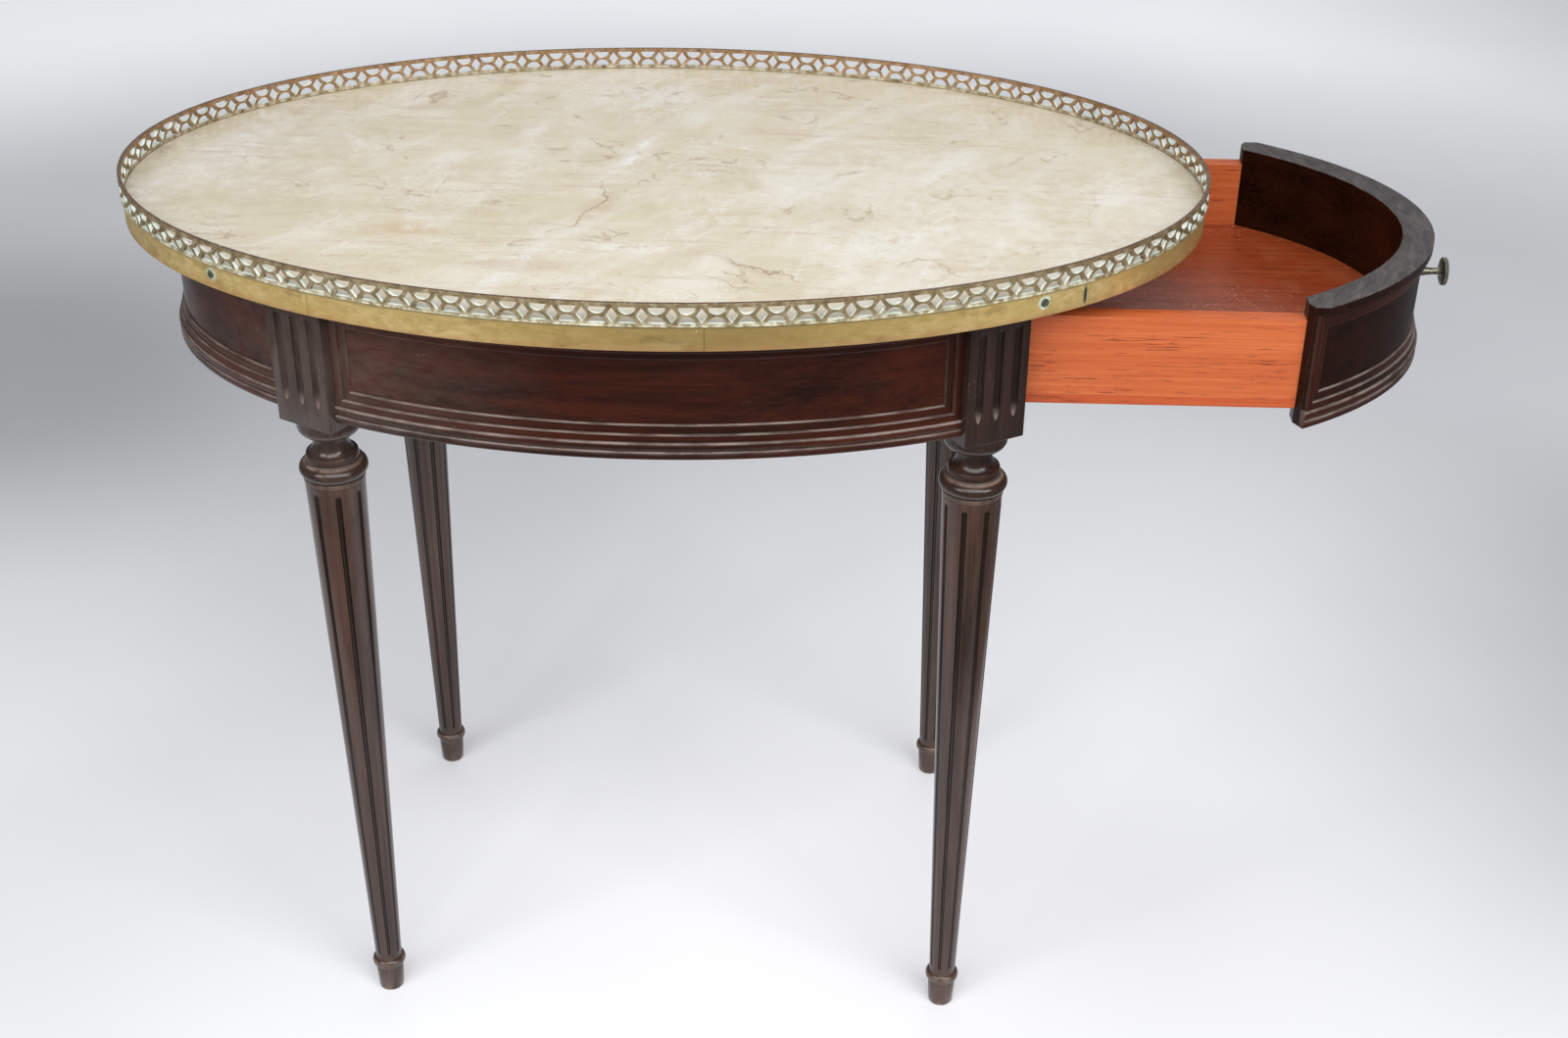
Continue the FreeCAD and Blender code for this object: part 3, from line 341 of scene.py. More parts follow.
def add_block(soup, seed, side_x, place):
    """Adds the square corner block, with rounded arrises, its flutes and the drawer's notch."""
    block, tools = bmesh.new(), bmesh.new()
    bmesh.ops.create_cube(block, size=1.0)
    middle, height = (FRAME_TOP + BLOCK_FOOT) / 2, FRAME_TOP - BLOCK_FOOT
    for v in block.verts:
        v.co = Vector((v.co.x * 2 * BLOCK, v.co.y * 2 * BLOCK, middle + v.co.z * height))
    bmesh.ops.bevel(block, geom=block.edges[:], offset=0.8, segments=3, profile=0.5, affect="EDGES")
    cut_flutes(tools)
    if side_x > 0:
        cut_opening(tools, place.inverted())
    held = []
    for label, bm in (("block_body", block), ("block_tools", tools)):
        bmesh.ops.recalc_face_normals(bm, faces=bm.faces)
        mesh = bpy.data.meshes.new(label)
        bm.to_mesh(mesh)
        bm.free()
        held.append(new_object(label, mesh))
    cutter = held[0].modifiers.new("cut", "BOOLEAN")
    cutter.operation, cutter.solver, cutter.object = "DIFFERENCE", "EXACT", held[1]
    shaped = held[0].evaluated_get(bpy.context.evaluated_depsgraph_get())
    result = shaped.to_mesh()
    base = len(soup.verts)
    points = np.array([v.co for v in result.vertices]).reshape(-1, 3)
    soup.verts.extend(points.tolist())
    soup.grain.extend(grain_up(points, seed).tolist())
    soup.faces.extend([tuple(base + i for i in p.vertices) for p in result.polygons])
    shaped.to_mesh_clear()
    for obj in held:
        mesh = obj.data
        bpy.data.objects.remove(obj)
        bpy.data.meshes.remove(mesh)
    x, y, z = points.T
    aside = np.min(np.abs(x[:, None] - np.array([BLOCK_FLUTES])), axis=1)
    in_flute = (aside < 3.3) & (y > -BLOCK + 0.3) & (y < -BLOCK + 4) & (z < 706) & (z > 625)
    low_end = np.clip((638 - z) / 7, 0, 1)
    high_end = np.clip((z - 699) / 5, 0, 1)
    soup.dust.extend((in_flute * (0.5 * np.maximum(low_end, high_end * 0.3))).tolist())
    # Painted shade: inside the flutes the wood is darkened more than the rest of the block, easing to a pale tip at the
    # flutes' foot
    soup.wear.extend(np.where(in_flute, low_end * 1.3 - 0.9, -DARKER).tolist())


def make_leg(name, side_x, side_y):
    """A leg drawn about its own axis, then set out, turned and, at the back, mirrored."""
    seed = 700.0 * (side_x + 1) + 1900.0 * (side_y + 1)
    turn = Matrix.Rotation(leg_turn(side_x, side_y), 4, "Z")
    flip = Matrix.Scale(-1, 4, Vector((0, 1, 0))) if side_y > 0 else Matrix.Identity(4)
    place = Matrix.Translation((side_x * LEG_X, side_y * LEG_Y, 0)) @ turn @ flip
    soup = Soup()
    soup.lathe(leg_neck(), 112, seed)
    fluted_shaft(soup, seed)
    soup.lathe(leg_foot(), 72, seed)
    add_block(soup, seed, side_x, place)
    soup.verts = [tuple(place @ Vector(v)) for v in soup.verts]
    return add_piece(name + "_turned", soup, "table_frame", (name,), sharp=38)


# ---- knob
ROSE_FACE, STEM_LONG, STEM_THIN = 2.2, 20.7, 2.75
BEADS, BEAD, BEAD_RING = 34, 0.95, 10.95


def make_knob():
    """Rose, waisted stem and beaded disc, turned about the knob's own line, which is +X."""
    rose, stem = Soup(), Soup()
    rose.lathe([(0.01, -0.5), (6.1, -0.5), (6.2, 0.2), (6.1, 0.6), (5.6, 0.9), (5.9, 1.2), (5.7, 1.7), (5.1, 2.2),
                (0.01, ROSE_FACE)], 48)
    profile = [(0.01, ROSE_FACE), (4.9, ROSE_FACE)]
    for k in range(1, 15):
        s = k / 14
        flare = 2.2 * (1 - s / 0.75) ** 1.5 if s < 0.75 else 1.9 * ((s - 0.75) / 0.25) ** 2.0
        profile.append((STEM_THIN + flare, ROSE_FACE + STEM_LONG * s))
    back = ROSE_FACE + STEM_LONG
    disc = ((5.4, 0.05), (8.0, -0.1), (9.2, 0.1), (10.2, 0.5), (10.9, 1.0), (11.15, 1.8), (10.7, 2.4), (11.15, 3.0),
            (10.9, 3.8), (10.0, 4.2), (9.0, 4.25), (8.2, 3.9), (7.4, 3.75), (6.6, 4.1), (5.0, 4.55), (3.0, 4.75),
            (0.01, 4.75))
    profile += [(radius, back + out) for radius, out in disc]
    stem.lathe(profile, 72)
    ball = [(BEAD * math.sin(p), BEAD * math.cos(p)) for p in np.linspace(0.02, math.pi - 0.02, 7)]
    for row, out in enumerate((back + 1.55, back + 3.35)):
        for k in range(BEADS):
            a = 2 * math.pi * (k + row * 0.5) / BEADS
            start = stem.lathe(ball, 10)
            move = np.array([BEAD_RING * math.cos(a), BEAD_RING * math.sin(a), out])
            stem.verts[start:] = (np.array(stem.verts[start:]) + move).tolist()
    for soup in (rose, stem):
        soup.grain = soup.verts
        across, up, out = np.array(soup.verts).T
        soup.verts = np.stack([out + FIELD_A, across, up + KNOB_Z], 1)
    return [add_piece(name + "_shown", soup, "drawer", (name,), DRAWER_OPEN)
            for name, soup in (("knob_rose", rose), ("drawer_knob", stem))]


# ---- material helpers
def srgb(r, g, b):
    return tuple((c / 255 / 12.92) if c <= 10.3 else ((c / 255 + 0.055) / 1.055) ** 2.4 for c in (r, g, b)) + (1.0,)


def dim(colour, by):
    return tuple(min(1.0, c * by) for c in colour[:3]) + (1.0,)


class Net:
    """Builds one material's nodes; lengths are in millimetres about the table's middle.

    Tints are red, green and blue of 255, dimmed by the tone; colour is what the coats have made so far."""
    def __init__(self, name, tone=1.0):
        self.tone, self.colour = tone, None
        self.material = bpy.data.materials.new(name)
        self.material.use_nodes = True
        self.tree = self.material.node_tree
        self.tree.nodes.clear()
        self.shader = self.tree.nodes.new("ShaderNodeBsdfPrincipled")
        out = self.tree.nodes.new("ShaderNodeOutputMaterial")
        self.tree.links.new(self.shader.outputs[0], out.inputs[0])

    def node(self, kind, outlet=0, settings=(), **inputs):
        """Adds a node and returns one outlet; i0, i1 and so on name its inputs by number."""
        n = self.tree.nodes.new(kind)
        for key, value in dict(settings).items():
            setattr(n, key, value)
        for key, value in inputs.items():
            numbered = key[0] == "i" and key[1:].isdigit()
            self.join(n.inputs[int(key[1:]) if numbered else key.replace("_", " ")], value)
        return n.outputs[outlet]

    def join(self, socket, value):
        if isinstance(value, bpy.types.NodeSocket):
            self.tree.links.new(value, socket)
        elif value is not None:
            socket.default_value = value

    def vector(self, operation, outlet=0, **inputs):
        return self.node("ShaderNodeVectorMath", outlet, {"operation": operation}, **inputs)

    def place(self, shift=0.0):
        """Object coordinates in millimetres about the table's middle."""
        at = self.vector("SCALE", i0=self.node("ShaderNodeTexCoord", 3), Scale=1000.0)
        return self.vector("SUBTRACT", i0=at, i1=(MIDDLE_X + shift, 0, 0))

    def split(self, vector):
        n = self.tree.nodes.new("ShaderNodeSeparateXYZ")
        self.join(n.inputs[0], vector)
        return n.outputs

    def join_xyz(self, x, y, z=0.0):
        return self.node("ShaderNodeCombineXYZ", 0, (), i0=x, i1=y, i2=z)

    def turned(self, at, order):
        """The axes of a point in another order, so that the grain runs along the first."""
        xyz = self.split(at)
        return self.join_xyz(*(xyz["XYZ".index(k)] for k in order))

    def reach(self, x, y):
        return self.vector("LENGTH", 1, i0=self.join_xyz(x, y))

    def normal(self):
        return self.node("ShaderNodeNewGeometry", 1)

    def times(self, vector, by):
        """Scales by one number, by one along the first axis and one across it, or by three."""
        by = by if isinstance(by, tuple) else (by,)
        return self.vector("MULTIPLY", i0=vector, i1=(by + by[-1:] * 2)[:3])

    def plus(self, vector, other):
        return self.vector("ADD", i0=vector, i1=other)

    def calc(self, operation, a, b=0.0, clamp=False):
        return self.node("ShaderNodeMath", 0, {"operation": operation, "use_clamp": clamp}, i0=a, i1=b)

    def product(self, first, *others, clamp=False):
        for other in others:
            first = self.calc("MULTIPLY", first, other, clamp)
        return first

    def weigh(self, a, by_a, b, by_b):
        return self.calc("ADD", self.product(a, by_a), self.product(b, by_b))

    def more(self, base, extra, by, clamp=False):
        return self.calc("ADD", base, self.product(extra, by), clamp)

    def off_middle(self, value):
        """How far a noise lies from its middle value, which makes lines where it crosses."""
        return self.calc("ABSOLUTE", self.calc("SUBTRACT", value, 0.5))

    def noise(self, vector, stretch, detail=3.0, rough=0.5, warp=0.0, outlet=0):
        return self.node("ShaderNodeTexNoise", outlet, Vector=self.times(vector, stretch), Scale=1.0,
                         Detail=detail, Roughness=rough, Distortion=warp)

    def cells(self, vector, stretch):
        return self.node("ShaderNodeTexVoronoi", Vector=self.times(vector, stretch), Scale=1.0)

    def span(self, value, low, high, to_low=0.0, to_high=1.0, smooth=False):
        return self.node("ShaderNodeMapRange", 0, {"interpolation_type": "SMOOTHSTEP" if smooth else "LINEAR"},
                         Value=value, From_Min=low, From_Max=high, To_Min=to_low, To_Max=to_high)

    def patches(self, vector, stretch, detail, rough, low, high, to_low=0.0, to_high=1.0):
        return self.span(self.noise(vector, stretch, detail, rough), low, high, to_low, to_high)

    def blend(self, share, one, two):
        n = self.tree.nodes.new("ShaderNodeMix")
        n.data_type = "RGBA"
        for index, value in ((0, share), (6, self.tinted(one)), (7, self.tinted(two))):
            self.join(n.inputs[index], value)
        return n.outputs[2]

    def coat(self, tint, *shares):
        """Lays a tint or colour over what is there, by the product of the shares."""
        self.colour = self.blend(self.product(*shares), self.colour, tint)

    def tinted(self, colour):
        plain = isinstance(colour, tuple) and len(colour) == 3
        return dim(srgb(*colour), self.tone) if plain else colour

    def ramp(self, value, *stops):
        n = self.tree.nodes.new("ShaderNodeValToRGB")
        first, last = n.color_ramp.elements
        stops = [(at, self.tinted(colour)) for at, colour in stops]
        (first.position, first.color), (last.position, last.color) = stops[0], stops[-1]
        for at, colour in stops[1:-1]:
            n.color_ramp.elements.new(at).color = colour
        self.join(n.inputs[0], value)
        return n.outputs[0]

    def bump(self, height, distance, strength, arris=0.0):
        """Bump over the surface, whose arrises are rounded in the shading where arris is set."""
        rounded = self.rounded(arris) if arris else None
        return self.node("ShaderNodeBump", Strength=strength, Distance=distance / 1000, Height=height, Normal=rounded)

    def rounded(self, radius):
        return self.node("ShaderNodeBevel", 0, {"samples": 4}, Radius=radius / 1000)

    def edge(self, radius, low=0.02, high=0.25):
        """How far the rounded normal leaves the true one: marks the arrises of a plain solid."""
        agree = self.vector("DOT_PRODUCT", 1, i0=self.rounded(radius), i1=self.normal())
        return self.span(self.calc("SUBTRACT", 1.0, agree), low, high)

    def spot(self, vector, centre, half, turn=0.0):
        """1 at the centre of an ellipse, falling to 0 at its edge; the turn is in degrees."""
        n = self.tree.nodes.new("ShaderNodeMapping")
        n.vector_type = "TEXTURE"
        for index, value in enumerate((vector, centre, (0, 0, math.radians(turn)), half)):
            self.join(n.inputs[index], value)
        return self.node("ShaderNodeTexGradient", 1, {"gradient_type": "SPHERICAL"}, Vector=n.outputs[0])

    def finish(self, rough, normal, metal=None, **fixed):
        for key, value in (("Base Color", self.colour), ("Roughness", rough), ("Normal", normal), ("Metallic", metal)):
            self.join(self.shader.inputs[key], value)
        for key, value in fixed.items():
            self.shader.inputs[key.replace("_", " ")].default_value = value
        return self.material


# ---- materials
def swept_source(net):
    """Grain, wear with painted highlight and shade, and dust that the pieces made here carry at their points."""
    grain = net.node("ShaderNodeAttribute", 1, {"attribute_name": "grain"})
    wear, dust = (net.node("ShaderNodeAttribute", 2, {"attribute_name": name}) for name in ("wear", "dust"))
    return net.vector("SCALE", i0=grain, Scale=1000.0), wear, dust


def board_source(order):
    """The same for a CAD solid: the grain runs along the first axis named, and the wear sits on the arrises."""
    return lambda net: (net.turned(net.place(), order), net.edge(0.9), 0.0)


def mahogany(name, source, dark=(31, 14, 9), red=(66, 28, 14), pale=(156, 142, 134), gloss=0.17, shine=0.25):
    """Dark varnished mahogany; source gives the grain vector, the wear with its painted highlight and shade, and the
    dust.
    """
    net = Net(name)
    dark, red, pale = srgb(*dark), srgb(*red), srgb(*pale)
    grain, wear, dust = source(net)
    streak = net.noise(grain, (0.009, 0.42), 5, 0.62, 0.35)
    stripe = net.weigh(streak, 0.4, net.noise(grain, (0.0045, 0.04), 3, 0.5, 0.2), 0.6)
    net.colour = net.ramp(stripe, (0.37, dark), (0.5, tuple((a + b) / 2 for a, b in zip(dark, red))), (0.63, red))
    pores = net.patches(grain, (0.06, 1.9), 2, 0.5, 0.3, 0.42, 1, 0)
    net.coat(dim(dark, 0.35), pores, 0.35)
    rub = net.noise(grain, (0.035, 0.12), 4, 0.65)
    # Pale where the value is above nought: real wear, and on the mouldings' rounded ledges partly a painted highlight
    worn_and_painted_light = net.product(wear, net.span(rub, 0.3, 0.52, 0.25, 0.75), clamp=True)
    net.coat(net.blend(net.span(rub, 0.4, 0.66), dim(pale, 0.45), pale), worn_and_painted_light)
    # Darker where the value is below nought: the darker wood of the turned parts and blocks, and painted shade inside
    # the flutes
    net.coat(dim(dark, 0.3), net.product(wear, -0.85, clamp=True))
    dusty = net.product(dust, net.patches(grain, (0.09, 0.3), 4, 0.7, 0.34, 0.66, 0.35, 0.9), clamp=True)
    net.coat((128, 116, 108), dusty, 0.7)
    size = net.patches(grain, 0.02, 2, 0.5, 0.56, 0.8, 0.0, 0.075)
    net.coat((170, 156, 146), net.calc("LESS_THAN", net.cells(grain, 0.12), size), 0.6)
    scratch = net.noise(net.plus(grain, (31, 7, 3)), (0.012, 0.06), 3, 0.6, 0.6)
    line = net.calc("LESS_THAN", net.off_middle(scratch), 0.0016)
    net.coat((130, 110, 100), line, net.patches(grain, 0.02, 1, 0.5, 0.6, 0.68), 0.3)
    # Painted reflection: a pale grey haze laid over the frame's front left corner
    bloom_and_painted_sheen = net.spot(net.place(), (-250, -190, 665), (200, 170, 150))
    net.coat((130, 114, 104), bloom_and_painted_sheen, net.span(rub, 0.35, 0.6, 0.12, 0.26))
    rough = net.patches(grain, (0.016, 0.04), 4, 0.6, 0.3, 0.7, gloss, gloss + 0.14)
    rough = net.more(net.more(rough, worn_and_painted_light, 0.15), dusty, 0.5, clamp=True)
    height = net.calc("SUBTRACT", net.weigh(streak, 0.35, pores, -0.5), net.product(worn_and_painted_light, 0.3))
    return net.finish(rough, net.bump(height, 0.06, 0.25), IOR=1.5, Specular_IOR_Level=shine)


# Marks of the photographed slab: place, half lengths and turn in degrees, tint, strength
MARBLE_MARKS_AND_PAINTED_LIGHT = (
    (-33, 50, 96, 16, 74, (238, 235, 227), 0.55), (-31, 58, 52, 4.0, 74, (246, 245, 243), 0.8),
    (-274, 80, 30, 6, -50, (244, 243, 238), 0.7), (50, 82, 64, 3.6, -20, (242, 236, 228), 0.7),
    (-18, -142, 52, 13, -8, (241, 238, 232), 0.7), (115, -10, 70, 34, 62, (236, 233, 224), 0.6),
    (-200, 20, 74, 24, 50, (238, 235, 226), 0.6), (180, -120, 66, 40, 20, (238, 236, 228), 0.7),
    # The large darker spot at (-400, 20) here and the large pale spot at (300, -60) on the next line are no marks:
    # painted shade over the slab's left side and painted light over its right front
    (235, 40, 56, 26, 70, (236, 233, 224), 0.6), (-400, 20, 190, 260, 0, (192, 180, 154), 0.4),
    (300, -60, 220, 150, 0, (240, 237, 228), 0.4), (-200, -112, 34, 20, 10, (208, 178, 134), 0.7),
    (-50, -62, 44, 20, 75, (200, 172, 134), 0.6), (-98, 64, 12, 5, 20, (160, 142, 116), 0.5),
    (-154, 122, 12, 4.5, 5, (156, 138, 112), 0.5), (-138, -58, 11, 7, 10, (160, 136, 108), 0.5),
    (92, 156, 20, 5, -30, (164, 142, 114), 0.5), (152, 20, 22, 4, 25, (166, 144, 114), 0.5),
    (300, 62, 26, 4, 60, (168, 146, 118), 0.5), (70, -170, 30, 5, -40, (168, 140, 110), 0.5))
MARBLE_TONE = 0.82  # dims all the tints, which were chosen for a fully lit slab
MARBLE_DEEP = 40  # half depth of the spots, more than the slab's thickness


def marble():
    """Cream marble: clouds and pale bands, then fine veins, jagged cracks, single marks, painted shade on the left and
    painted light on the right, and a dull rim.
    """
    def mark(vector, x, y, long, wide, turn):
        return net.spot(vector, (x, y, MARBLE_Z), (long, wide, MARBLE_DEEP), turn)

    net = Net("marble_cream", MARBLE_TONE)
    at = net.place()
    drift = net.vector("SUBTRACT", i0=net.noise(at, 0.014, 4, 0.6, 0, 1), i1=(0.5, 0.5, 0.5))
    warped, slight = net.plus(at, net.times(drift, (52, 52, 0))), net.plus(at, net.times(drift, (20, 20, 0)))
    cloud = net.noise(warped, (0.011, 0.02, 0.02), 5, 0.62)
    net.colour = net.ramp(cloud, (0.34, (213, 201, 173)), (0.5, (221, 211, 187)), (0.68, (229, 221, 203)))
    column = net.patches(net.plus(warped, (40, 10, 0)), (0.02, 0.006, 0.02), 3, 0.55, 0.48, 0.7, 0, 0.5)
    net.coat((211, 201, 168), column)
    tilt = net.node("ShaderNodeVectorRotate", 0, {"rotation_type": "Z_AXIS"}, Vector=warped, Angle=math.radians(-58))
    net.coat((234, 230, 219), net.patches(tilt, (0.005, 0.022, 0.01), 5, 0.62, 0.5, 0.68, 0, 0.95))
    block = net.patches(net.plus(warped, (7, 300, 0)), (0.024, 0.014, 0.01), 4, 0.6, 0.53, 0.68, 0, 0.6)
    net.coat((236, 232, 222), block)
    gate = net.patches(at, (0.008, 0.015, 0.01), 3, 0.6, 0.42, 0.6, 0.15, 1.0)
    lines = net.patches(slight, (0.007, 0.105, 0.05), 5, 0.68, 0.52, 0.6)
    net.coat((205, 184, 162), lines, net.product(gate, 0.6))
    white = net.patches(net.plus(slight, (0, 700, 0)), (0.01, 0.085, 0.05), 5, 0.68, 0.55, 0.64, 0, 0.3)
    net.coat((238, 233, 222), white)
    for shift, stretch, width in (((0, 0, 0), (0.009, 0.05), 0.008), ((500, 90, 0), (0.011, 0.034, 0.05), 0.006)):
        thin = net.span(net.off_middle(net.noise(net.plus(slight, shift), stretch, 4, 0.6)), 0.0, width, 1, 0)
        gate = net.patches(net.plus(at, (90, 40, 0)), (0.011, 0.015, 0.01), 2, 0.5, 0.42, 0.56)
        net.coat((168, 142, 116), thin, net.product(gate, 0.4))
    pale = net.noise(net.plus(tilt, (40, 10, 0)), (0.012, 0.026, 0.01), 5, 0.7)
    pale = net.span(net.off_middle(pale), 0.0, 0.022, 1, 0)
    gate = net.patches(net.plus(at, (80, 600, 0)), (0.008, 0.008, 0.01), 3, 0.6, 0.48, 0.58)
    net.coat((240, 236, 228), pale, gate, 0.6)
    shake = net.plus(net.noise(at, (0.09, 0.09, 0.05), 3, 0.6, 0, 1), (-0.5, -0.5, -0.5))
    shake = net.plus(warped, net.times(shake, (16, 9, 0)))
    jagged = 0.0
    for shift, stretch, low, high in (((0, 0, 0), (0.01, 0.017, 0.01), 0.515, 0.58),
                                      ((420, 60, 0), (0.015, 0.011, 0.01), 0.535, 0.6)):
        jag = net.span(net.off_middle(net.noise(net.plus(shake, shift), stretch, 2, 0.5)), 0.002, 0.009, 1, 0)
        gate = net.patches(net.plus(at, (300, 120, 0)), (0.014, 0.014, 0.01), 4, 0.7, low, high)
        jagged = net.calc("MAXIMUM", jagged, net.product(jag, gate))
    net.coat((164, 142, 114), jagged, 0.6)
    ragged = net.patches(slight, (0.07, 0.07, 0.05), 4, 0.65, 0.36, 0.58)
    for *form, tint, share in MARBLE_MARKS_AND_PAINTED_LIGHT:
        net.coat(tint, net.span(mark(slight, *form), 0.0, 0.6), share, ragged)
    shaky = net.plus(at, net.times(drift, (90, 70, 0)))
    cracks = net.calc("MAXIMUM", mark(shaky, -55, -58, 74, 1.6, 76), mark(shaky, 82, -178, 42, 1.6, -48))
    net.coat((150, 120, 90), net.span(cracks, 0, 0.35), 0.6)
    fine = net.noise(at, 0.45, 3, 0.6)
    net.coat((190, 176, 148), net.span(fine, 0.35, 0.7, 0, 0.16))
    x, y, _ = net.split(at)
    rim = net.span(net.reach(net.calc("DIVIDE", x, MARBLE_A), net.calc("DIVIDE", y, MARBLE_B)), 0.955, 1.0)
    net.coat((150, 144, 112), rim, net.patches(at, 0.05, 3, 0.6, 0.3, 0.7, 0.25, 1.0), 0.45)
    rough = net.more(net.patches(at, 0.03, 3, 0.6, 0.3, 0.7, 0.2, 0.34), jagged, 0.25, clamp=True)
    height = net.weigh(fine, 0.05, jagged, -0.3)
    return net.finish(rough, net.bump(height, 0.3, 0.3), IOR=1.5, Specular_IOR_Level=0.45)


def gallery_brass():
    """Tarnished brass: coppery inside, yellower outside, brown on top, with chalky verdigris on the ledges and painted
    shade on the faces turned down.
    """
    net = Net("gallery_brass_aged")
    at = net.place()
    x, y, z = net.split(at)
    up = net.split(net.normal())[2]
    mottle = net.noise(at, 0.16, 4, 0.62)
    patch = net.noise(at, (0.03, 0.03, 0.05), 3, 0.6)
    net.colour = net.ramp(mottle, (0.28, (114, 88, 68)), (0.5, (168, 132, 102)), (0.72, (202, 168, 132)))
    net.coat((150, 118, 70), net.span(patch, 0.42, 0.66, 0, 0.7))
    outward = net.join_xyz(net.calc("DIVIDE", x, GALLERY_A ** 2), net.calc("DIVIDE", y, GALLERY_B ** 2))
    facing = net.vector("DOT_PRODUCT", 1, i0=net.vector("NORMALIZE", i0=outward), i1=net.normal())
    outer = net.ramp(mottle, (0.3, (150, 127, 90)), (0.5, (180, 157, 116)), (0.7, (212, 198, 162)))
    net.coat(outer, net.span(facing, 0.3, 0.8))
    brown = net.ramp(mottle, (0.3, (86, 66, 52)), (0.7, (134, 106, 84)))
    net.coat(brown, net.span(up, 0.6, 0.9), net.span(z, 758.5, 759.5), 0.85)
    ledge = net.span(net.calc("ADD", up, net.span(z, 754.0, 749.0, 0.0, 0.22)), 0.25, 0.6)
    ledge = net.product(ledge, net.span(z, 758.6, 757.8))
    chalk = net.ramp(mottle, (0.3, (176, 206, 190)), (0.48, (222, 232, 222)), (0.7, (243, 245, 240)))
    net.coat(chalk, ledge, net.span(patch, 0.25, 0.5, 0.7, 1.0))
    # Painted shade: faces turned down, such as the upper curves of the openings, are dulled to a dark grey-green
    net.coat((96, 108, 88), net.span(up, -0.15, -0.5), 0.6)
    low = net.product(net.span(z, 746.5, 742.0), net.span(mottle, 0.34, 0.55, 0.25, 1.0))
    net.coat(net.ramp(mottle, (0.35, (108, 122, 98)), (0.62, (212, 224, 210))), low, 0.5)
    bloom_and_painted_sheen = net.product(net.patches(at, 0.28, 4, 0.7, 0.55, 0.68), 0.4)
    net.coat((178, 198, 176), bloom_and_painted_sheen)
    dull = net.calc("MAXIMUM", net.product(ledge, 0.95), net.calc("MAXIMUM", bloom_and_painted_sheen, low))
    metal = net.product(net.calc("SUBTRACT", 1.0, dull, clamp=True), 0.8)
    rough = net.more(net.span(mottle, 0.3, 0.7, 0.36, 0.56), ledge, 0.3, clamp=True)
    return net.finish(rough, net.bump(mottle, 0.25, 0.5, 0.35), metal, IOR=1.5)


RING_ANGLES = (-47.85, 42.15, 132.15, 222.15)  # the screws that gather a green ring
RING_A, RING_B, BAND_Z = 448.5, 283.5, 731


def band_brass():
    """Tarnished yellow sheet brass, browner below, greenish above, stained, with a painted dark reflection at the front
    and green rings round four screws.
    """
    def frayed(by):
        return net.calc("ADD", z, net.product(net.calc("SUBTRACT", mottle, 0.5), by))

    net = Net("band_brass_aged")
    at = net.place()
    z = net.split(at)[2]
    cloud = net.noise(at, (0.011, 0.011, 0.05), 4, 0.6)
    mottle = net.noise(at, (0.09, 0.09, 0.16), 5, 0.66)
    brushed = net.noise(at, (0.05, 0.05, 1.4), 3, 0.6)
    net.colour = net.ramp(mottle, (0.28, (184, 157, 92)), (0.5, (212, 185, 122)), (0.74, (234, 211, 154)))
    net.coat((204, 170, 98), net.span(cloud, 0.4, 0.66, 0, 0.6))
    cloudy = net.plus(at, net.times(net.join_xyz(cloud, 0.0), (160, 0, 0)))
    # Painted dark reflection: a darker, browner patch over the band's front, right of the middle
    net.coat((152, 126, 74), net.spot(cloudy, (150, -285, BAND_Z), (230, 90, 60)), 0.9)
    net.coat((196, 146, 100), net.span(frayed(9.0), 727.0, 721.5), 0.6)
    net.coat((112, 116, 80), net.span(frayed(5.0), 738.6, 741.2), 0.6)
    net.coat((126, 100, 56), net.span(brushed, 0.45, 0.75), 0.25)
    stain = net.patches(net.plus(at, (60, 10, 5)), (0.028, 0.028, 0.06), 4, 0.6, 0.6, 0.74)
    net.coat((116, 96, 56), stain, 0.55)
    speck = net.calc("LESS_THAN", net.cells(at, 0.12), net.patches(at, 0.02, 2, 0.5, 0.5, 0.75, 0.0, 0.09))
    net.coat((226, 220, 190), speck, 0.7)
    net.coat((70, 64, 40), net.edge(0.7, 0.12, 0.3), 0.75)
    scar = net.spot(at, (333.8, -190.2, BAND_Z), (2.4, 2.4, 11))
    net.coat((62, 84, 76), net.span(scar, 0.1, 0.4))
    green = 0.0
    for a in (math.radians(angle) for angle in RING_ANGLES):
        ring = net.spot(at, (RING_A * math.cos(a), RING_B * math.sin(a), 733), (6.8, 6.8, 6.8))
        green = net.calc("MAXIMUM", green, net.product(ring, 0.85))
    green = net.product(net.span(green, 0.1, 0.3), net.span(mottle, 0.3, 0.6, 0.5, 1.0))
    net.coat(net.ramp(mottle, (0.35, (120, 150, 134)), (0.6, (206, 222, 208))), green)
    dull = net.calc("MAXIMUM", net.product(green, 0.5), net.product(speck, 0.3))
    metal = net.calc("SUBTRACT", 0.5, dull, clamp=True)
    rough = net.more(net.span(mottle, 0.3, 0.7, 0.28, 0.42), stain, 0.12)
    height = net.weigh(brushed, 0.25, cloud, 1.2)
    return net.finish(rough, net.bump(height, 0.3, 0.3, 0.4), metal, IOR=1.5)


def dull_metal(name, low, high, rough_low, rough_high, bloom_tint, bloom_share):
    """Dull metal with a pale bloom and brighter arrises."""
    net = Net(name)
    at = net.place()
    mottle = net.noise(at, 0.5, 4, 0.62)
    bloom_and_painted_sheen = net.product(net.patches(at, 0.9, 4, 0.7, 0.5, 0.66), bloom_share)
    net.colour = net.ramp(mottle, (0.3, low), (0.7, high))
    net.coat(bloom_tint, bloom_and_painted_sheen)
    net.coat(dim(srgb(*high), 1.8), net.edge(0.4, 0.02, 0.3), 0.5)
    metal = net.calc("SUBTRACT", 0.85, bloom_and_painted_sheen, clamp=True)
    rough = net.span(mottle, 0.3, 0.7, rough_low, rough_high)
    return net.finish(rough, net.bump(mottle, 0.15, 0.5, 0.25), metal, IOR=1.5)


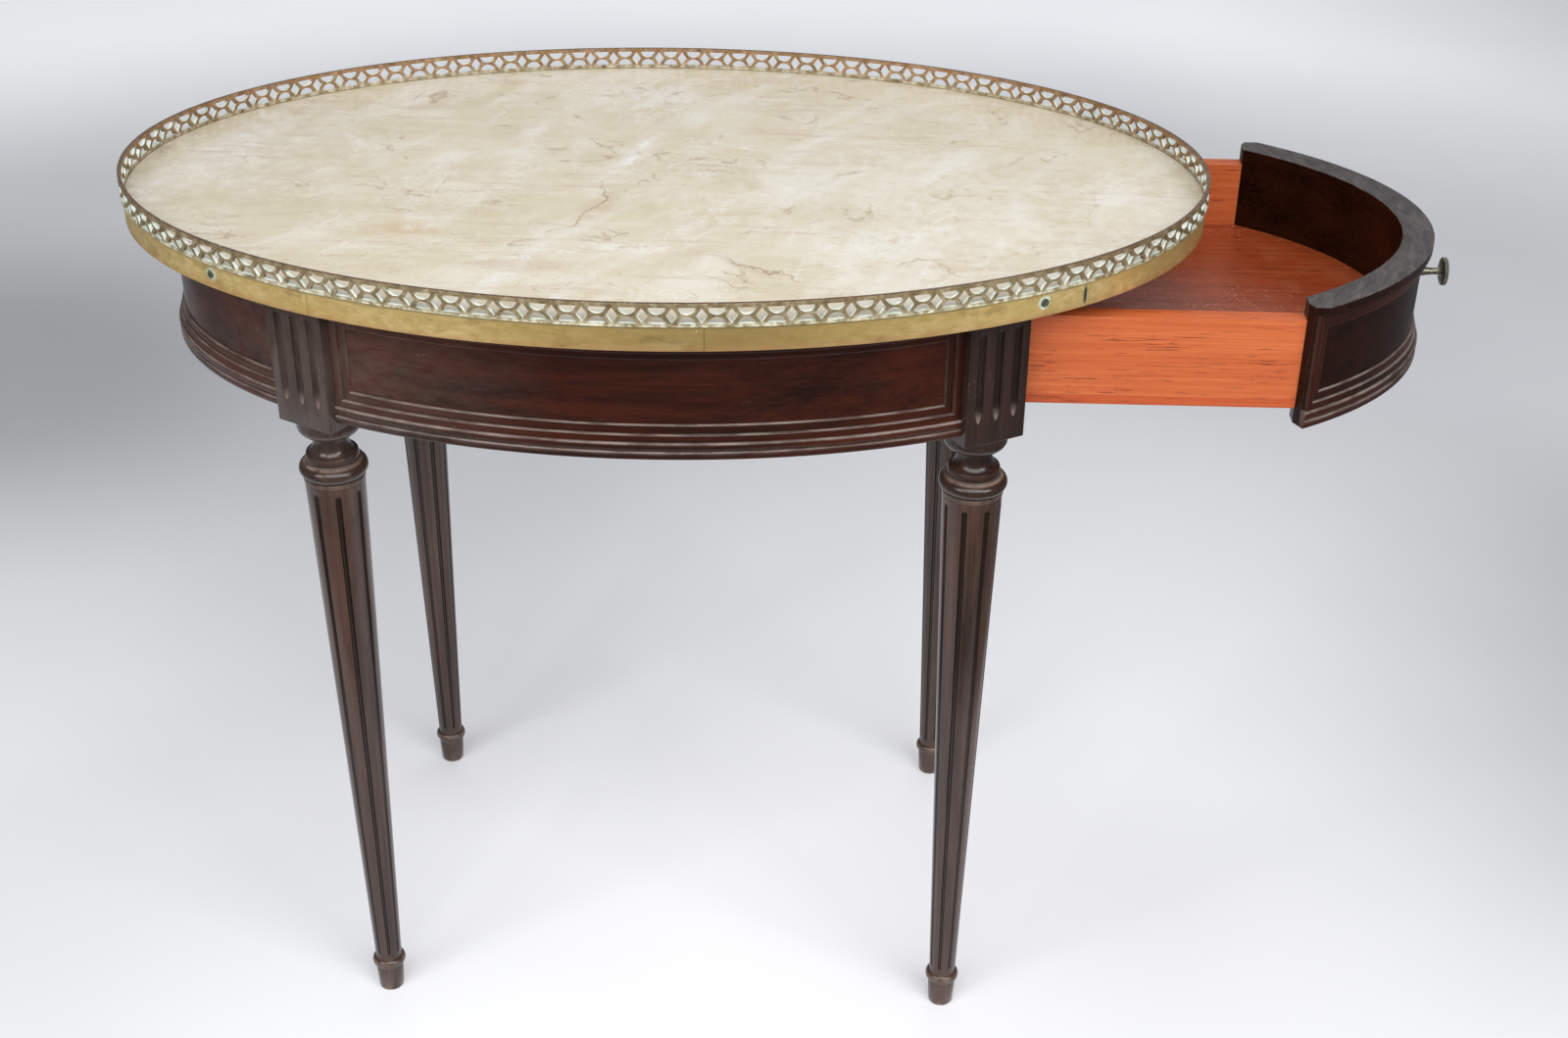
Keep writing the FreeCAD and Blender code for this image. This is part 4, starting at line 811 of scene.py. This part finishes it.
def orange_wood(name, order, tints, gloss, dusty=False):
    """Thin oiled drawer wood with dark pores along the grain; the drawer's floor is dusty and shinier."""
    net = Net(name)
    base, deep, pale, dash = (srgb(*tint) for tint in tints)
    grain = net.turned(net.place(DRAWER_OPEN), order)
    streak = net.noise(grain, (0.01, 1.3), 4, 0.62, 0.2)
    mixed = net.weigh(net.noise(grain, (0.0035, 0.22), 5, 0.65, 0.3), 0.55, streak, 0.45)
    net.colour = net.ramp(mixed, (0.36, deep), (0.5, base), (0.66, pale))
    pores = net.product(net.patches(grain, (0.034, 0.95), 3, 0.6, 0.355, 0.395, 1, 0),
                        net.patches(grain, (0.01, 0.05), 2, 0.5, 0.32, 0.56))
    net.coat(dash, pores, 0.85)
    net.coat(tuple(min(1.0, c * 1.35 + 0.03) for c in pale[:3]) + (1.0,), net.edge(0.7), 0.55)
    rough = net.patches(grain, (0.02, 0.2), 3, 0.6, 0.3, 0.7, gloss, gloss + 0.16)
    if dusty:
        at = net.place()
        haze = net.product(net.patches(at, 0.03, 4, 0.65, 0.48, 0.75), 0.14)
        net.coat((176, 120, 84), haze)
        much = net.product(net.patches(at, 0.013, 3, 0.6, 0.38, 0.62), 0.2)
        net.coat((206, 150, 110), net.calc("LESS_THAN", net.cells(at, 0.22), much), 0.6)
        rough = net.more(rough, haze, 0.6)
    height = net.calc("SUBTRACT", net.product(streak, 0.4), pores)
    return net.finish(rough, net.bump(height, 0.12, 0.35, 0.5), IOR=1.48,
                      Specular_IOR_Level=0.5 if dusty else 0.35)


def drawer_head():
    """The curved drawer front: varnished outside, plain inside, scuffed grey-black on top, with a painted sheen
    lightening the top's greys.
    """
    net = Net("drawer_front_wood")
    at = net.place(DRAWER_OPEN)
    x, y, z = net.split(at)
    over_a, over_b = net.calc("DIVIDE", x, FIELD_A), net.calc("DIVIDE", y, FIELD_B)
    along = net.product(net.calc("ARCTAN2", over_b, over_a), 340.0)  # about millimetres round the oval's end
    grain = net.join_xyz(along, z, net.reach(x, y))
    streak = net.noise(grain, (0.01, 0.42), 5, 0.62, 0.35)
    stripe = net.weigh(streak, 0.5, net.noise(grain, (0.005, 0.05), 3, 0.5), 0.5)
    outside = net.ramp(stripe, (0.37, (21, 10, 7)), (0.63, (41, 19, 11)))
    inside = net.ramp(stripe, (0.38, (18, 7, 3)), (0.62, (44, 19, 9)))
    net.colour = inside
    net.coat(outside, net.span(net.reach(over_a, over_b), 0.955, 0.985))
    top = net.span(net.split(net.normal())[2], 0.6, 0.9)
    scuff = net.noise(grain, (0.05, 0.2), 5, 0.7)
    # The top's greys are scuffed, dusty wood, made lighter still as a painted sheen
    net.coat(net.ramp(scuff, (0.3, (55, 51, 51)), (0.52, (72, 68, 68)), (0.72, (93, 89, 86))), top)
    flakes = net.calc("LESS_THAN", net.cells(at, 0.3), net.span(y, -60, -180, 0.02, 0.16))
    net.coat((168, 152, 130), flakes, top, 0.55)
    net.coat((132, 96, 76), net.edge(0.9), net.span(scuff, 0.42, 0.62), 0.7)
    pores = net.patches(grain, (0.06, 1.9), 2, 0.5, 0.3, 0.42, 1, 0)
    net.coat((18, 9, 7), pores, 0.45)
    rough = net.more(net.patches(grain, (0.02, 0.05), 4, 0.6, 0.3, 0.7, 0.18, 0.32), top, 0.2)
    height = net.weigh(streak, 0.5, pores, -0.7)
    return net.finish(rough, net.bump(height, 0.12, 0.35, 0.8), IOR=1.5, Specular_IOR_Level=0.14)


def plain_wood():
    net = Net("carcase_wood_plain")
    grain = net.place()
    streak = net.noise(grain, (0.012, 0.4), 4, 0.6, 0.3)
    net.colour = net.ramp(streak, (0.34, (118, 78, 48)), (0.5, (146, 102, 66)), (0.68, (170, 126, 86)))
    pores = net.patches(grain, (0.08, 2.0), 2, 0.5, 0.3, 0.4, 1, 0)
    net.coat((80, 50, 30), pores, 0.5)
    return net.finish(net.span(streak, 0.3, 0.7, 0.55, 0.75), net.bump(streak, 0.2, 0.4, 0.6), IOR=1.48)


def dress(material, *names):
    for name in names:
        for held in nodes[name].material_slots:
            held.material = material


# ---- pieces that replace plain solids
frame_wood = mahogany("mahogany_frame", swept_source)
leg_wood = mahogany("mahogany_legs", swept_source, (40, 28, 23), (78, 56, 47), (158, 138, 122), 0.14, 0.45)
knob_metal = dull_metal("knob_bronze_dull", (80, 77, 67), (140, 136, 121), 0.26, 0.42, (158, 158, 142), 0.45)
for side in ("front", "back", "left"):
    for make in (panel_frame, base_moulding):
        make("apron_" + side, side, "table_frame").data.materials.append(frame_wood)
DRAWER_GAP, DRAWER_STILE = 1.5, 2.3
panel_frame("drawer_front", "right", "drawer", DRAWER_GAP, DRAWER_STILE, DRAWER_OPEN).data.materials.append(frame_wood)
base_moulding("drawer_front", "right", "drawer", DRAWER_GAP, DRAWER_OPEN).data.materials.append(frame_wood)
for end, x in (("left", -1), ("right", 1)):
    for face, y in (("front", -1), ("back", 1)):
        make_leg("leg_%s_%s" % (face, end), x, y).data.materials.append(leg_wood)
for obj in make_knob():
    obj.data.materials.append(knob_metal)

# ---- CAD solids that stay as they are
dress(marble(), "marble_top")
dress(gallery_brass(), "gallery")
dress(band_brass(), *("band_strip_%d" % k for k in range(1, 9)))
dress(dull_metal("screw_steel_dull", (86, 84, 78), (140, 138, 128), 0.38, 0.55, (170, 190, 172), 0.55),
      "kicker_screws", "drawer_stop_screw", "knob_screw")
dress(dull_metal("band_screw_dark", (66, 70, 60), (124, 126, 110), 0.4, 0.55, (160, 180, 164), 0.5), "band_screws")
dress(mahogany("mahogany_panels_long", board_source("XZY")), "apron_front", "apron_back")
dress(mahogany("mahogany_panel_end", board_source("YZX")), "apron_left")
dress(drawer_head(), "drawer_front")
side_tints = (180, 89, 45), (168, 74, 36), (197, 107, 59), (84, 34, 20)
slip_tints = (172, 76, 36), (154, 62, 28), (188, 94, 50), (84, 34, 18)
floor_tints = (140, 60, 28), (122, 48, 21), (156, 73, 36), (76, 28, 14)
dress(orange_wood("drawer_side_wood", "XZY", side_tints, 0.42), "drawer_side_front", "drawer_side_back")
dress(orange_wood("drawer_slip_wood", "XZY", slip_tints, 0.4), "drawer_slip_front", "drawer_slip_back")
dress(orange_wood("drawer_back_wood", "YZX", side_tints, 0.42), "drawer_back")
dress(orange_wood("drawer_floor_wood", "XYZ", floor_tints, 0.22, dusty=True), "drawer_bottom")
dress(plain_wood(), "top_board", "cross_rail", "drawer_runner_front", "drawer_runner_back", "drawer_kicker_front",
      "drawer_kicker_back", "drawer_stop", "glue_blocks")

# ---- floor, light and camera
# Sheets in metres: left, right, near, far
FLOOR, OUT = (-1.62, 0.62, -0.62, 1.4), 9.0
SHEETS = {"studio_floor": FLOOR, "studio_floor_left": (-OUT, FLOOR[0], FLOOR[2], FLOOR[3]),
          "studio_floor_right": (FLOOR[1], OUT, FLOOR[2], FLOOR[3]), "studio_floor_near": (-OUT, OUT, -OUT, FLOOR[2]),
          "studio_floor_far": (-OUT, OUT, FLOOR[3], OUT)}


def stage_material():
    """Pale paper, a little darker at the back left and right, and lit from within where the photograph's is bright."""
    def pool(centre, half, edge, strength):
        return net.product(net.span(net.spot(at, centre + (0,), half + (400,)), 0, edge, 0, 1, True), strength)

    net = Net("studio_paper")
    at = net.place()
    net.colour = net.ramp(net.noise(at, 0.0012, 3, 0.5), (0.3, (228, 230, 234)), (0.7, (240, 241, 244)))
    shade = net.calc("ADD", pool((-1080, 1060), (760, 660), 0.8, 0.36), pool((1260, 300), (820, 860), 0.8, 0.35))
    net.coat((0, 0, 0, 1), shade)
    x, y, _ = net.split(at)
    around = net.product(net.span(net.reach(x, y), 2000, 3000, 0, 0.42, True), net.span(x, 900, 1700, 1.0, 0.55))
    glow = net.calc("ADD", around, pool((280, 480), (950, 820), 0.9, 0.2))
    glow = net.calc("ADD", glow, pool((-60, -160), (700, 560), 0.9, 0.16))
    net.join(net.shader.inputs["Emission Strength"], glow)
    normal = net.bump(net.noise(at, 0.004, 2, 0.5), 1.2, 0.15)
    return net.finish(0.6, normal, Emission_Color=(0.96, 0.98, 1.0, 1.0))


def make_stage():
    """A flat paper floor; only the sheet under the table shows in the varnish, as in a dim room."""
    material = stage_material()
    for name, (left, right, near, far) in SHEETS.items():
        mesh = bpy.data.meshes.new(name)
        mesh.from_pydata([(left, near, 0), (right, near, 0), (right, far, 0), (left, far, 0)], [], [(0, 1, 2, 3)])
        mesh.materials.append(material)
        obj = new_object(name, mesh)
        obj.visible_glossy = name == "studio_floor"


def lamp(name, place, aim, wide, high, watts, tint=(1, 1, 1)):
    light = bpy.data.lights.new(name, "AREA")
    light.shape, light.size, light.size_y, light.energy, light.color = "RECTANGLE", wide, high, watts, tint
    obj = new_object(name, light)
    obj.location = place
    obj.rotation_euler = (Vector(aim) - Vector(place)).to_track_quat("-Z", "Y").to_euler()


make_stage()
world = bpy.data.worlds.new("studio")
world.use_nodes = True
sky = world.node_tree.nodes["Background"]
sky.inputs[0].default_value, sky.inputs[1].default_value = (0.94, 0.96, 1.0, 1), 0.17
bpy.context.scene.world = world
lamp("key_left", (-2.0, -2.2, 2.2), (0, 0, 0.45), 1.4, 1.4, 36)
lamp("key_right", (2.2, -2.1, 2.2), (0, 0, 0.45), 1.4, 1.4, 38)
lamp("front", (0.2, -2.0, 2.4), (0.1, 0, 0.4), 2.4, 1.7, 60)
lamp("overhead", (0.2, 0.0, 3.2), (0.1, 0.1, 0), 2.0, 1.6, 22)
lamp("back_softbox", (0.1, 3.4, 2.6), (0.0, 0.0, 0.7), 5.0, 2.6, 22, (0.95, 0.97, 1.0))
bpy.context.scene.view_settings.view_transform = "Standard"

# The photograph's camera, solved from it in metres about the table's middle
CAMERA_LENS, CAMERA_SENSOR, CAMERA_PLACE = 48.8385, 36.0, (0.142083, -1.667186, 1.406918)
CAMERA_RIGHT, CAMERA_DOWN = Vector((0.99952, 0.029457, 0.009645)), Vector((0.023353, -0.511081, -0.859215))
CAMERA_AHEAD = Vector((-0.020381, 0.859028, -0.511523))
camera = bpy.data.cameras.new("photo_camera")
camera.lens, camera.sensor_width, camera.sensor_fit = CAMERA_LENS, CAMERA_SENSOR, "HORIZONTAL"
eye = new_object("photo_camera", camera)
turn = Matrix((CAMERA_RIGHT, -CAMERA_DOWN, -CAMERA_AHEAD)).transposed().to_4x4()
eye.matrix_world = Matrix.Translation(Vector(CAMERA_PLACE) + Vector((MIDDLE_X / 1000, 0, 0))) @ turn
bpy.context.scene.camera = eye
